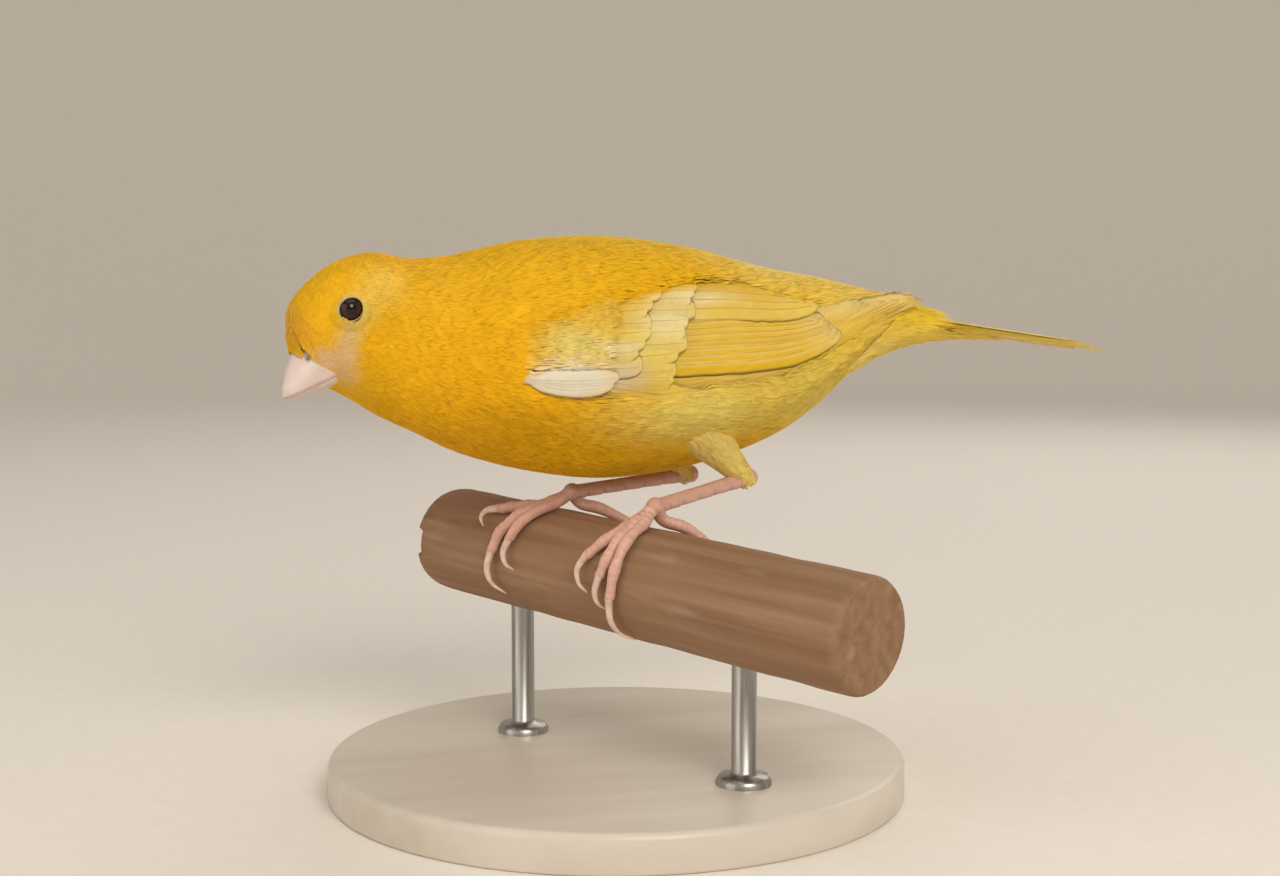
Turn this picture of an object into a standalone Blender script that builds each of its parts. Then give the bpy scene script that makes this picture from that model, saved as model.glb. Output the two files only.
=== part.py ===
"""A canary at life size, crouched on a short cut length of perch that a plain display stand holds up.

The frame is in metres, +Z up. The bird faces -X and its left side is towards -Y. The origin is the middle
of the base's underside. Sizes below are in millimetres, and a finished mesh is scaled to metres.
"""

import math
import random

import bmesh
import bpy
from mathutils import Matrix, Vector

MM = 0.001
GAP = 0.3
SEED = 11

# The stand and the perch. The perch's axis passes PERCH_AT and runs towards the viewer's right.
BASE_RADIUS = 46.0
BASE_HEIGHT = 6.0
BASE_BEVEL = 1.2
ROD_RADIUS = 1.9
COLLAR_RADIUS = 4.2
COLLAR_HEIGHT = 1.6
ROD_STATIONS = (-21.0, 27.0)
PERCH_AT = Vector((-1.1, -2.3, 34.6))
PERCH_PLAN_ANGLE = 57.8
PERCH_DIP = 3.9
PERCH_RADIUS = 8.7
PERCH_FAR = -39.5
PERCH_NEAR = 50.0
NOTCH_WIDTH = 4.4
NOTCH_DEPTH = 2.6

# The body. Each row is a section from the tail's root to the bill's root, measured from BODY_AT:
# the back line's x and z, the belly line's x and z, the half width, and how much narrower it is below.
BODY_AT = Vector((0.0, 4.0, 69.0))
OUTLINE = (
    (46.0, 10.0, 45.5, 4.0, 4.6, 0.0),
    (36.0, 12.6, 37.5, -5.4, 8.4, 0.0),
    (25.0, 14.4, 27.5, -12.6, 12.2, 0.0),
    (12.0, 17.6, 13.5, -17.4, 15.6, 0.0),
    (-2.0, 19.2, -1.0, -19.2, 16.8, 0.0),
    (-15.0, 18.4, -13.5, -17.8, 16.2, 0.0),
    (-25.0, 16.2, -24.5, -14.8, 13.8, 0.0),
    (-32.5, 15.5, -31.5, -11.4, 11.2, 0.04),
    (-39.0, 16.4, -37.5, -8.6, 9.4, 0.1),
    (-45.2, 14.2, -41.4, -6.2, 8.6, 0.24),
    (-50.5, 9.1, -44.4, -4.6, 6.2, 0.42),
    (-51.6, 3.7, -46.6, -3.4, 3.2, 0.3),
)
FULLNESS = 2.15
NECK_BEND_FROM = -18.0
NECK_BEND_LENGTH = 22.0
NECK_TURN = 13.0
TORSO_TO_NECK = 6.5
NECK_TO_HEAD = 8.3

# The head's own frame: forward and up from the skull's middle, which is pitched down.
SKULL_AT = Vector((-43.4, 0.0, 8.8))
HEAD_PITCH = 39.0
EYE_FORWARD = 1.55
EYE_UP = 0.1
EYE_RADIUS = 2.0
EYE_OUT = 0.7
LID_RADIUS = 1.85
LID_THICKNESS = 0.45
# Bill sections: forward, culmen, mouth line, underside, half width.
BILL = (
    (5.2, 0.6, -7.4, -9.4, 4.3),
    (8.2, 0.0, -6.9, -8.9, 4.1),
    (11.2, -1.1, -6.3, -7.9, 3.1),
    (14.2, -3.0, -5.7, -6.6, 1.7),
    (16.3, -4.8, -5.3, -5.65, 0.35),
)
BILL_FULLNESS = 2.3
BILL_SIDES = 10
NOSTRIL_FORWARD = 9.6
NOSTRIL_UP = -2.9
NOSTRIL_RADIUS = 0.42

# The bed that a folded wing lies on: x, top z, bottom z, half width, measured from BODY_AT.
WING_BED = (
    (-25.0, 16.2, -14.8, 13.8),
    (-14.0, 18.4, -17.8, 16.3),
    (-1.5, 19.2, -19.2, 16.9),
    (13.0, 17.6, -17.4, 15.7),
    (26.0, 14.6, -12.0, 12.6),
    (36.0, 13.6, -4.0, 9.8),
    (46.0, 13.4, 3.0, 6.2),
    (58.0, 13.0, 6.8, 3.8),
)
WING_LIFT = 0.75
# The wing thins towards the back by this much, between these angles
WING_SLOPE = 0.9
WING_SLOPE_ANGLES = (10.0, 52.0)
# The plate that the wing's feathers root in: x, lower and upper angle round the bed, and thickness.
WING_PLATE = (
    (-18.5, -4.0, 20.0, 0.8),
    (-14.0, -12.0, 38.0, 1.3),
    (-4.0, -17.0, 54.0, 1.4),
    (8.0, -19.0, 60.0, 1.3),
    (18.0, -18.0, 56.0, 1.1),
    (27.0, -14.0, 40.0, 0.9),
    (34.0, -6.0, 22.0, 0.8),
)
# Tiers of wing feathers from the inmost layer out. The first and last feather of each tier are told by
# the root's x and angle and the tip's x and angle; then come the count, width and lift over the bed.
WING_TIERS = (
    ((-5.0, -15.0, 51.0, -3.0), (2.0, -3.0, 38.0, 19.0), 7, 4.2, 1.35),
    ((0.0, -2.0, 35.0, -3.0), (5.0, 20.0, 29.0, 26.0), 5, 5.6, 1.6),
    ((5.0, 26.0, 31.0, 27.0), (3.0, 46.0, 21.0, 50.0), 3, 6.6, 1.95),
    ((-12.0, -10.0, 7.0, -19.0), (-8.0, -3.0, 3.0, -8.0), 4, 4.0, 1.9),
    ((-9.0, -3.0, 9.0, -5.0), (-5.0, 40.0, 13.0, 50.0), 7, 5.4, 2.2),
    ((-15.0, -9.0, 0.0, -17.0), (-14.5, -5.0, -4.0, -10.0), 2, 3.0, 2.3),
    ((-15.0, 0.0, -1.5, 0.0), (-11.0, 40.0, 2.5, 46.0), 6, 5.8, 2.65),
)
FLIGHT_TIERS = 3
PRIMARY_TIP_CURVE = 3.0
VANE_THICKNESS = 0.6
VANE_TILT = 0.34
# Along a vane: the share of its length, of its width, and how deep it is sunk there.
VANE_SHAPE = ((0.0, 0.7, 1.0), (0.42, 1.0, 0.3), (0.86, 0.84, 0.0), (1.0, 0.2, 0.1))
SHAFT_RISE = 0.12

# The tail: its stub, its twelve feathers and the coverts over their roots.
TAIL_TIP_X = 83.0
TAIL_STUB_X = 60.0
TAIL_DROP = 5.4
TAIL_FEATHER_PAIRS = 6
TAIL_FEATHER_WIDTH = 5.4
TAIL_ROOT_SPREAD = 0.55
TAIL_TIP_SPREAD = 0.98
TAIL_STACK = 0.42
TAIL_FORK = 0.5
TAIL_COVERTS = ((-3.0, 60.0), (3.0, 60.0), (-1.4, 63.0), (1.4, 63.0))

# Legs: the joint nearest the body that shows, the ankle, and the foot's own joint, from BODY_AT.
LEGS = {
    "left": {"knee": (11.0, -8.6, -9.5), "ankle": (20.4, -7.4, -19.4), "foot": (3.9, -13.0, -22.8)},
    "right": {"knee": (6.0, 8.0, -10.0), "ankle": (13.9, 4.2, -19.7), "foot": (-5.8, 2.5, -21.9)},
}
THIGH_RADII = (5.2, 2.9, 1.6)
SHANK_RADII = (1.35, 1.08, 1.2)
SOLE_RADIUS = 1.4
# Where each toe runs on the perch, and then its claw: how far along from the foot's joint, and the
# angle over the perch (0 is the crest, + is the side that the bird faces).
TOES = {
    "left": {
        "inner": ((-1.3, 14.0), (-2.0, 34.0), (-3.6, 50.0), (-5.3, 64.0)),
        "middle": ((-0.6, 16.0), (-0.5, 40.0), (-0.8, 62.0), (-1.5, 80.0)),
        "outer": ((0.5, 14.0), (1.1, 42.0), (1.4, 70.0), (1.0, 98.0)),
        "hind": ((0.4, -14.0), (2.4, -30.0), (4.6, -46.0), (6.2, -62.0)),
    },
    "right": {
        "inner": ((-1.3, 10.0), (-2.7, 34.0), (-3.8, 54.0), (-4.2, 66.0)),
        "middle": ((-1.8, 10.0), (-4.6, 38.0), (-6.6, 60.0), (-7.5, 82.0)),
        "outer": ((-2.2, 12.0), (-5.4, 24.0), (-8.2, 31.0), (-10.4, 36.0)),
        "hind": ((0.4, -14.0), (3.0, -24.0), (5.6, -34.0), (8.0, -46.0)),
    },
}
CLAWS = {
    "left": {
        "inner": ((-5.9, 76.0), (-5.3, 88.0), (-3.9, 96.0)),
        "middle": ((-1.7, 92.0), (-1.2, 102.0), (0.0, 108.0)),
        "outer": ((1.0, 115.0), (1.6, 130.0), (3.6, 141.0)),
        "hind": ((7.2, -78.0), (7.8, -92.0), (8.0, -104.0)),
    },
    "right": {
        "inner": ((-4.3, 77.0), (-3.5, 87.0), (-2.1, 92.0)),
        "middle": ((-7.7, 97.0), (-7.0, 110.0), (-5.0, 121.0)),
        "outer": ((-11.9, 42.0), (-12.3, 50.0), (-11.4, 57.0)),
        "hind": ((9.2, -58.0), (10.0, -70.0), (10.2, -82.0)),
    },
}
TOE_RADII = {"inner": 1.0, "middle": 1.15, "outer": 1.0, "hind": 1.1}
TOE_END_RADIUS = 0.8
TOE_STEPS = 9
TOE_LIFT = 0.4
CLAW_RISE = (0.85, 1.15, 1.0, 0.4)
CLAW_ROOT_RADIUS = 0.66
CLAW_TIP_SHARE = 0.22
CLAW_STEPS = 6


def clear_scene():
    for found in list(bpy.data.objects):
        bpy.data.objects.remove(found)


def material(name, colour, roughness, metallic=0.0):
    """A Principled material with the sub-part's own colour and finish."""
    made = bpy.data.materials.new(name)
    made.use_nodes = True
    shader = made.node_tree.nodes["Principled BSDF"]
    shader.inputs["Base Color"].default_value = (*colour, 1.0)
    shader.inputs["Roughness"].default_value = roughness
    shader.inputs["Metallic"].default_value = metallic
    return made


def between(rows, key):
    """The row at key on a smooth curve through rows, whose first number is the key."""
    last = len(rows) - 1
    i = max(0, min(last - 1, sum(1 for row in rows if row[0] <= key) - 1))
    before, low, high, after = (rows[max(0, min(last, i + k))] for k in (-1, 0, 1, 2))
    span = high[0] - low[0]
    t = (key - low[0]) / span
    found = []
    for b, l, h, a in zip(before[1:], low[1:], high[1:], after[1:]):
        slope_low = (h - b) / (high[0] - before[0]) * span
        slope_high = (a - l) / (after[0] - low[0]) * span
        found.append(
            l * (1 + 2 * t) * (1 - t) ** 2
            + slope_low * t * (1 - t) ** 2
            + h * t * t * (3 - 2 * t)
            - slope_high * t * t * (1 - t)
        )
    return found


NUMBERED_OUTLINE = tuple((float(i), *row) for i, row in enumerate(OUTLINE))


def turn_neck(point):
    """The point with the neck and head turned to the bird's left, on a bend of even radius."""
    along = NECK_BEND_FROM - point.x
    if along <= 0:
        return point
    rate = math.radians(NECK_TURN) / NECK_BEND_LENGTH
    bent = min(along, NECK_BEND_LENGTH)
    angle = rate * bent
    straight = along - bent
    x = NECK_BEND_FROM - math.sin(angle) / rate - straight * math.cos(angle)
    y = -(1 - math.cos(angle)) / rate - straight * math.sin(angle)
    return Vector((x + point.y * -math.sin(angle), y + point.y * math.cos(angle), point.z))


def full(value, fullness=FULLNESS):
    """A sine or cosine made fuller, so that a section is a little squarer than an ellipse."""
    return math.copysign(abs(value) ** (2 / fullness), value)


def body_point(station, angle):
    """A point of the body's surface: angle 0 is its left side, 90 its back, in degrees."""
    back_x, back_z, belly_x, belly_z, half, taper = between(NUMBERED_OUTLINE, station)
    rise = full(math.sin(math.radians(angle))) / 2
    side = -half * full(math.cos(math.radians(angle))) * (1 + taper * rise * 2)
    x = (back_x + belly_x) / 2 + rise * (back_x - belly_x)
    z = (back_z + belly_z) / 2 + rise * (back_z - belly_z)
    return turn_neck(Vector((x, side, z))) + BODY_AT


def section_of_body(station, sides, shift=0.0):
    """The ring of points round the body at a station, moved by shift along the ring's own normal."""
    ring = [body_point(station, 360.0 * k / sides) for k in range(sides)]
    normal = (ring[0] - ring[sides // 2]).cross(ring[sides // 4] - ring[3 * sides // 4]).normalized()
    if normal.x > 0:
        normal.negate()
    return [p + normal * shift for p in ring]


def wing_bed_point(x, angle, lift):
    """A point over the bed of the left wing, lift above it, and the outward normal there."""

    def flat(at_x, at_angle):
        top, bottom, half = between(WING_BED, at_x)
        rise = full(math.sin(math.radians(at_angle)))
        side = -half * full(math.cos(math.radians(at_angle)))
        return Vector((at_x, side, (top + bottom) / 2 + rise * (top - bottom) / 2))

    step = 0.5
    along = flat(x + step, angle) - flat(x - step, angle)
    round_it = flat(x, angle + step) - flat(x, angle - step)
    normal = round_it.cross(along).normalized()
    if normal.y > 0:
        normal.negate()
    return flat(x, angle) + normal * lift + BODY_AT, normal


def loft(rings):
    """A closed bmesh through rings of as many points each, flat at both ends."""
    bm = bmesh.new()
    loops = [[bm.verts.new(p) for p in ring] for ring in rings]
    count = len(rings[0])
    for low, high in zip(loops, loops[1:]):
        for k in range(count):
            n = (k + 1) % count
            bm.faces.new((low[k], low[n], high[n], high[k]))
    bm.faces.new(loops[0])
    bm.faces.new(loops[-1])
    bmesh.ops.recalc_face_normals(bm, faces=bm.faces)
    return bm


def tube(points, radii, sides=8, flatten=1.0):
    """A closed bmesh round a line of points, with a radius at each."""
    rings = []
    up = Vector((0, 0, 1))
    for i, point in enumerate(points):
        ahead = points[min(i + 1, len(points) - 1)]
        behind = points[max(i - 1, 0)]
        along = (ahead - behind).normalized()
        if abs(along.dot(up)) > 0.95:
            up = Vector((0, 1, 0))
        side = along.cross(up).normalized()
        up = side.cross(along).normalized()
        rings.append(
            [
                point
                + side * (radii[i] * math.cos(2 * math.pi * k / sides))
                + up * (radii[i] * flatten * math.sin(2 * math.pi * k / sides))
                for k in range(sides)
            ]
        )
    return loft(rings)


def node(name, bm, finish, parent=None, smooth_angle=40.0):
    """The named object of a finished bmesh, which is scaled to metres here."""
    bmesh.ops.triangulate(bm, faces=bm.faces)
    bmesh.ops.transform(bm, matrix=Matrix.Scale(MM, 4), verts=bm.verts)
    mesh = bpy.data.meshes.new(name)
    bm.to_mesh(mesh)
    bm.free()
    mesh.materials.append(finish)
    mesh.shade_smooth()
    mesh.set_sharp_from_angle(angle=math.radians(smooth_angle))
    made = bpy.data.objects.new(name, mesh)
    made.parent = parent
    bpy.context.scene.collection.objects.link(made)
    return made


def scratch_object(bm):
    """A throwaway object of a bmesh, still in millimetres, for a Boolean."""
    mesh = bpy.data.meshes.new("scratch")
    bm.to_mesh(mesh)
    bm.free()
    made = bpy.data.objects.new("scratch", mesh)
    bpy.context.scene.collection.objects.link(made)
    return made


def combined(bm, others, operation):
    """The bmesh after one Boolean with all the others, and with only its largest closed surface kept."""
    host = scratch_object(bm)
    tools = bpy.data.collections.new("tools")
    bpy.context.scene.collection.children.link(tools)
    for other in others:
        tool = scratch_object(other)
        bpy.context.scene.collection.objects.unlink(tool)
        tools.objects.link(tool)
    boolean = host.modifiers.new("Boolean", "BOOLEAN")
    boolean.operand_type = "COLLECTION"
    boolean.collection = tools
    boolean.operation = operation
    boolean.solver = "EXACT"
    graph = bpy.context.evaluated_depsgraph_get()
    made = bmesh.new()
    made.from_mesh(host.evaluated_get(graph).to_mesh())
    for tool in list(tools.objects):
        bpy.data.objects.remove(tool)
    bpy.data.collections.remove(tools)
    bpy.data.objects.remove(host)
    return largest_surface(made)


def largest_surface(bm):
    """The bmesh with every part but its largest closed surface removed."""
    bmesh.ops.triangulate(bm, faces=bm.faces)
    left = set(bm.faces)
    parts = []
    while left:
        stack = [left.pop()]
        part = list(stack)
        while stack:
            face = stack.pop()
            for edge in face.edges:
                for near in edge.link_faces:
                    if near in left:
                        left.remove(near)
                        stack.append(near)
                        part.append(near)
        parts.append(part)

    def volume(part):
        return abs(sum(f.verts[0].co.dot(f.verts[1].co.cross(f.verts[2].co)) for f in part))

    largest = max(parts, key=volume)
    keep = set(largest)
    bmesh.ops.delete(bm, geom=[f for f in bm.faces if f not in keep], context="FACES")
    return bm


def mirrored(bm):
    """The bmesh turned into its other-handed twin, across the bird's middle plane."""
    for vert in bm.verts:
        vert.co.y = 2 * BODY_AT.y - vert.co.y
    bmesh.ops.reverse_faces(bm, faces=bm.faces)
    return bm


# The perch and the display stand


def perch_direction():
    """The perch's axis, pointing to its near end."""
    plan, dip = math.radians(PERCH_PLAN_ANGLE), math.radians(PERCH_DIP)
    return Vector((math.cos(plan) * math.cos(dip), -math.sin(plan) * math.cos(dip), -math.sin(dip)))


def perch_axis(station):
    return PERCH_AT + perch_direction() * station


def perch_frame():
    """Unit vectors from the perch's axis: to the crest, and to the viewer's side of it."""
    along = perch_direction()
    front = along.cross(Vector((0, 0, 1))).normalized()
    if front.x > 0:
        front.negate()
    crest = front.cross(along).normalized()
    if crest.z < 0:
        crest.negate()
    return crest, front


def on_perch(station, angle, radius):
    """A point round the perch: angle 0 is its crest and 90 the viewer's side, in degrees."""
    crest, front = perch_frame()
    turn = math.radians(angle)
    return perch_axis(station) + (crest * math.cos(turn) + front * math.sin(turn)) * radius


def perch_tube(radius, far, near, sides=28):
    stations = (far, far + 0.9, far + 2.6, near - 0.6, near)
    radii = (radius - 2.0, radius - 0.7, radius, radius, radius - 0.5)
    if radius > PERCH_RADIUS:
        radii = (radius,) * 5
    return loft([[on_perch(s, 360.0 * k / sides, r) for k in range(sides)] for s, r in zip(stations, radii)])


def make_perch(finish):
    """The round perch, with the notch across its far end that fits over a wire."""
    crest, front = perch_frame()
    end = perch_axis(PERCH_FAR)
    notch = bmesh.new()
    bmesh.ops.create_cube(notch, size=1.0)
    size = Matrix.Diagonal((2 * NOTCH_DEPTH, 3 * PERCH_RADIUS, NOTCH_WIDTH, 1.0))
    axes = Matrix((perch_direction(), front, crest)).transposed().to_4x4()
    bmesh.ops.transform(notch, matrix=Matrix.Translation(end) @ axes @ size, verts=notch.verts)
    bmesh.ops.recalc_face_normals(notch, faces=notch.faces)
    return node("perch", combined(perch_tube(PERCH_RADIUS, PERCH_FAR, PERCH_NEAR), [notch], "DIFFERENCE"), finish)


def turned(profile, sides, centre):
    """A closed bmesh turned about a vertical line: profile is (radius, height) from the bottom up."""
    rings = [
        [centre + Vector((r * math.cos(a), r * math.sin(a), z)) for a in (2 * math.pi * k / sides for k in range(sides))]
        for r, z in profile
    ]
    return loft(rings)


def make_stand(base_finish, rod_finish):
    """The flat base, and two short rods whose tops are cut to the underside of the perch."""
    bevel = BASE_BEVEL
    profile = (
        (BASE_RADIUS - 0.5, 0.0),
        (BASE_RADIUS, 0.5),
        (BASE_RADIUS, BASE_HEIGHT - bevel),
        (BASE_RADIUS - bevel * 0.3, BASE_HEIGHT - bevel * 0.3),
        (BASE_RADIUS - bevel, BASE_HEIGHT),
    )
    node("stand_base", turned(profile, 48, Vector((0, 0, 0))), base_finish)
    floor = BASE_HEIGHT + GAP
    for name, station in zip(("stand_rod_far", "stand_rod_near"), ROD_STATIONS):
        at = perch_axis(station)
        rod = turned(
            (
                (COLLAR_RADIUS, floor),
                (COLLAR_RADIUS, floor + COLLAR_HEIGHT * 0.6),
                (COLLAR_RADIUS * 0.8, floor + COLLAR_HEIGHT),
                (ROD_RADIUS, floor + COLLAR_HEIGHT),
                (ROD_RADIUS, at.z),
            ),
            20,
            Vector((at.x, at.y, 0)),
        )
        socket = perch_tube(PERCH_RADIUS + GAP, PERCH_FAR - 1, PERCH_NEAR + 1)
        node(name, combined(rod, [socket], "DIFFERENCE"), rod_finish)


# The body, neck and head


def body_loft(low, high, steps, sides, shift=0.0):
    """The closed length of body between two stations, its first ring moved by shift along its normal."""
    stations = [low + (high - low) * i / steps for i in range(steps + 1)]
    rings = [section_of_body(s, sides, shift if i == 0 else 0.0) for i, s in enumerate(stations)]
    return loft(rings)


def head_point(forward, side, up):
    """A point of the head's frame in the part's frame; side is positive to the bird's left."""
    pitch = math.radians(HEAD_PITCH)
    x = -forward * math.cos(pitch) - up * math.sin(pitch)
    z = -forward * math.sin(pitch) + up * math.cos(pitch)
    return turn_neck(SKULL_AT + Vector((x, -side, z))) + BODY_AT


def head_surface_side(forward, up, sign):
    """How far the head's side is from its middle plane at a place of the head's frame."""
    target = head_point(forward, 0.0, up)
    best = None
    for i in range(60):
        station = NECK_TO_HEAD + (len(OUTLINE) - 1 - NECK_TO_HEAD) * i / 59
        for angle in range(-60, 80, 2):
            p = body_point(station, angle if sign > 0 else 180 - angle)
            left = head_point(forward, sign, up) - target
            off = p - target
            side = off.dot(left)
            away = (off - left * side).length
            if best is None or away < best[0]:
                best = (away, side)
    return best[1]


def bill_rings(upper, grow=0.0):
    """Rings of the upper or lower bill, grown by grow: half an ellipse on the flat mouth line."""
    rings = []
    for i, (forward, culmen, mouth, underside, half) in enumerate(BILL):
        edge = mouth + (GAP / 2 if upper else -GAP / 2) * (1 if grow == 0 else 0)
        reach = (culmen if upper else underside) - edge
        reach += grow if upper else -grow
        ahead = forward - grow if i == 0 else forward
        ring = []
        for k in range(BILL_SIDES + 1):
            turn = math.pi * k / BILL_SIDES
            side = (half + grow) * full(math.cos(turn), BILL_FULLNESS)
            ring.append(head_point(ahead, side, edge + reach * full(math.sin(turn), BILL_FULLNESS)))
        rings.append(ring)
    return rings


def eye_frame(sign):
    """The eyeball's middle and the outward direction of the eye, for the left (1) or right (-1) side."""
    side = head_surface_side(EYE_FORWARD, EYE_UP, sign)
    surface = head_point(EYE_FORWARD, sign * side, EYE_UP)
    outward = (head_point(EYE_FORWARD + 0.14, sign * (side + 1.0), EYE_UP + 0.06) - surface).normalized()
    return surface + outward * (EYE_OUT - EYE_RADIUS), outward, surface


def ball(centre, radius, segments=12, rings=8):
    bm = bmesh.new()
    bmesh.ops.create_uvsphere(bm, u_segments=segments, v_segments=rings, radius=radius)
    bmesh.ops.translate(bm, vec=centre, verts=bm.verts)
    return bm


def lid_ring(centre, outward, radius, thickness, segments=14, sides=6):
    """A closed ring round an eye."""
    turn = outward.to_track_quat("Z", "Y")
    bm = bmesh.new()
    loops = []
    for i in range(segments):
        a = 2 * math.pi * i / segments
        out = turn @ Vector((math.cos(a), math.sin(a), 0))
        loop = []
        for k in range(sides):
            b = 2 * math.pi * k / sides
            loop.append(bm.verts.new(centre + out * (radius + thickness * math.cos(b)) + outward * thickness * math.sin(b)))
        loops.append(loop)
    for i, loop in enumerate(loops):
        after = loops[(i + 1) % segments]
        for k in range(sides):
            n = (k + 1) % sides
            bm.faces.new((loop[k], loop[n], after[n], after[k]))
    bmesh.ops.recalc_face_normals(bm, faces=bm.faces)
    return bm


def make_body(plumage, parent):
    """Torso and neck, cut from one body across its own sections."""
    node("torso", body_loft(0.0, TORSO_TO_NECK, 22, 24), plumage, parent)
    node("neck", body_loft(TORSO_TO_NECK, NECK_TO_HEAD, 6, 24, GAP), plumage, parent)


def make_head(plumage, horn, eye_finish, parent):
    """The head with its lids and eye sockets, the eyes, and the bill in two halves."""
    last = float(len(OUTLINE) - 1)
    head = body_loft(NECK_TO_HEAD, last, 12, 24, GAP)
    frames = {"left": eye_frame(1), "right": eye_frame(-1)}
    lids = [lid_ring(surface + outward * 0.1, outward, LID_RADIUS, LID_THICKNESS) for _, outward, surface in frames.values()]
    head = combined(head, lids, "UNION")
    sockets = [ball(centre, EYE_RADIUS + GAP) for centre, _, _ in frames.values()]
    bill_room = [loft(bill_rings(True, GAP)), loft(bill_rings(False, GAP))]
    head = combined(head, sockets + bill_room, "DIFFERENCE")
    node("head", head, plumage, parent)
    for side, (centre, _, _) in frames.items():
        node(f"eye_{side}", ball(centre, EYE_RADIUS), eye_finish, parent)
    nostrils = [ball(head_point(NOSTRIL_FORWARD, s * 2.55, NOSTRIL_UP), NOSTRIL_RADIUS, 8, 5) for s in (1, -1)]
    node("bill_upper", combined(loft(bill_rings(True)), nostrils, "DIFFERENCE"), horn, parent)
    node("bill_lower", loft(bill_rings(False)), horn, parent)


# Wings and tail


def vane(place, root, tip, width, lift, tilt=0.0, ridged=False):
    """One feather's blade as a closed bmesh, laid with place(x, across, side, lift).

    Root and tip are (x, across), and tilt raises the low edge. Both faces carry triangles alike, and a
    ridged blade has a line of points along its shaft on either face.
    """
    rings = []
    for share, broad, sunk in VANE_SHAPE:
        x = root[0] + (tip[0] - root[0]) * share
        across = root[1] + (tip[1] - root[1]) * share
        half = width * broad / 2
        outer, inner = [], []
        for side in (-1, 0, 1) if ridged else (-1, 1):
            rise = lift - sunk + tilt * (0.5 - side / 2) + (SHAFT_RISE if side == 0 else 0.0)
            outer.append(place(x, across, half * side, rise + VANE_THICKNESS))
            inner.append(place(x, across, half * side, rise))
        rings.append(outer + inner[::-1])
    return loft(rings)


def wing_slope(angle):
    """How much the folded wing has thinned at an angle round its bed."""
    low, high = WING_SLOPE_ANGLES
    share = min(max((angle - low) / (high - low), 0.0), 1.0)
    return WING_SLOPE * share * share * (3 - 2 * share)


def on_wing_bed(x, angle, side, lift):
    """The place over the wing's bed that is side millimetres round it from the angle."""
    here, _ = wing_bed_point(x, angle, lift)
    there, _ = wing_bed_point(x, angle + 1.0, lift)
    per_degree = max((there - here).length, 0.05)
    at = angle + side / per_degree
    return wing_bed_point(x, at, lift - wing_slope(at))[0]


def wing_plate(columns=7, steps=12):
    """The plate under the folded wing's feathers."""
    rings = []
    first, last = WING_PLATE[0][0], WING_PLATE[-1][0]
    for i in range(steps + 1):
        x = first + (last - first) * i / steps
        lower, upper, thick = between(WING_PLATE, x)
        angles = [lower + (upper - lower) * k / (columns - 1) for k in range(columns)]
        rims = [0.55 if k in (0, columns - 1) else 1.0 for k in range(columns)]
        thicks = [max(thick * rim - wing_slope(a) * 0.8, 0.45) for a, rim in zip(angles, rims)]
        outer = [wing_bed_point(x, a, WING_LIFT + t)[0] for a, t in zip(angles, thicks)]
        inner = [wing_bed_point(x, a, WING_LIFT)[0] for a in reversed(angles)]
        rings.append(outer + inner)
    return loft(rings)


def wing_feathers():
    """A bmesh for each feather of the left wing."""
    chance = random.Random(SEED)
    feathers = []
    for tier, (first, last, count, width, lift) in enumerate(WING_TIERS):
        for k in range(count):
            share = k / (count - 1)
            root_x, root_a, tip_x, tip_a = (f + (l - f) * share for f, l in zip(first, last))
            if tier == 0:
                tip_x += PRIMARY_TIP_CURVE * math.sin(math.pi * min(share * 1.4, 1.0))
            jitter = chance.uniform(-0.05, 0.05)
            root, tip = (root_x, root_a), (tip_x, tip_a)
            feathers.append(vane(on_wing_bed, root, tip, width, lift + jitter, VANE_TILT, tier < FLIGHT_TIERS))
    return feathers


def make_wings(plumage, parent):
    wing = combined(wing_plate(), wing_feathers(), "UNION")
    twin = mirrored(wing.copy())
    node("wing_left", wing, plumage, parent)
    node("wing_right", twin, plumage, parent)


def tail_middle(x):
    """The tail's middle line at x: its height over BODY_AT."""
    back_x, back_z, belly_x, belly_z = OUTLINE[0][:4]
    return (back_z + belly_z) / 2 - TAIL_DROP * (x - back_x) / (TAIL_TIP_X - back_x)


def on_tail(x, across, side, lift):
    """The place on the tail's blade, which falls away a little to either side."""
    y = across + side
    return BODY_AT + Vector((x, y, tail_middle(x) + lift - abs(y) * 0.09))


def tail_stub(sides=16):
    """The fleshy root of the tail, behind the torso's last section and as flat as a feather at its end."""
    root = section_of_body(0.0, sides, -GAP)
    middle = sum(root, Vector()) / len(root)
    rings = [root]
    for share, width, thick in ((0.12, 4.6, 2.7), (0.4, 4.4, 1.9), (0.75, 4.0, 1.1), (1.0, 3.2, 0.5)):
        x = middle.x + (TAIL_STUB_X - middle.x) * share
        centre = Vector((x, BODY_AT.y, BODY_AT.z + tail_middle(x)))
        turns = [2 * math.pi * k / sides for k in range(sides)]
        rings.append([centre + Vector((0, -width * math.cos(t), thick * math.sin(t))) for t in turns])
    return loft(rings)


def tail_feathers():
    """A bmesh for each tail feather and tail covert, the middle pair uppermost."""
    feathers = []
    for k in range(TAIL_FEATHER_PAIRS):
        for sign in (-1, 1):
            root = (OUTLINE[0][0] + 3.0, sign * TAIL_ROOT_SPREAD * (k + 0.5))
            tip = (TAIL_TIP_X + TAIL_FORK * k, sign * TAIL_TIP_SPREAD * (k + 0.55))
            lift = 0.75 - TAIL_STACK * k + (0.14 if sign > 0 else 0.0)
            feathers.append(vane(on_tail, root, tip, TAIL_FEATHER_WIDTH, lift, 0.0, True))
    for across, tip_x in TAIL_COVERTS:
        lift = 1.15 + (0.2 if abs(across) < 2 else 0.0) + (0.1 if across > 0 else 0.0)
        feathers.append(vane(on_tail, (OUTLINE[0][0] + 2.0, across * 0.5), (tip_x, across), 4.6, lift))
    return feathers


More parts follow.
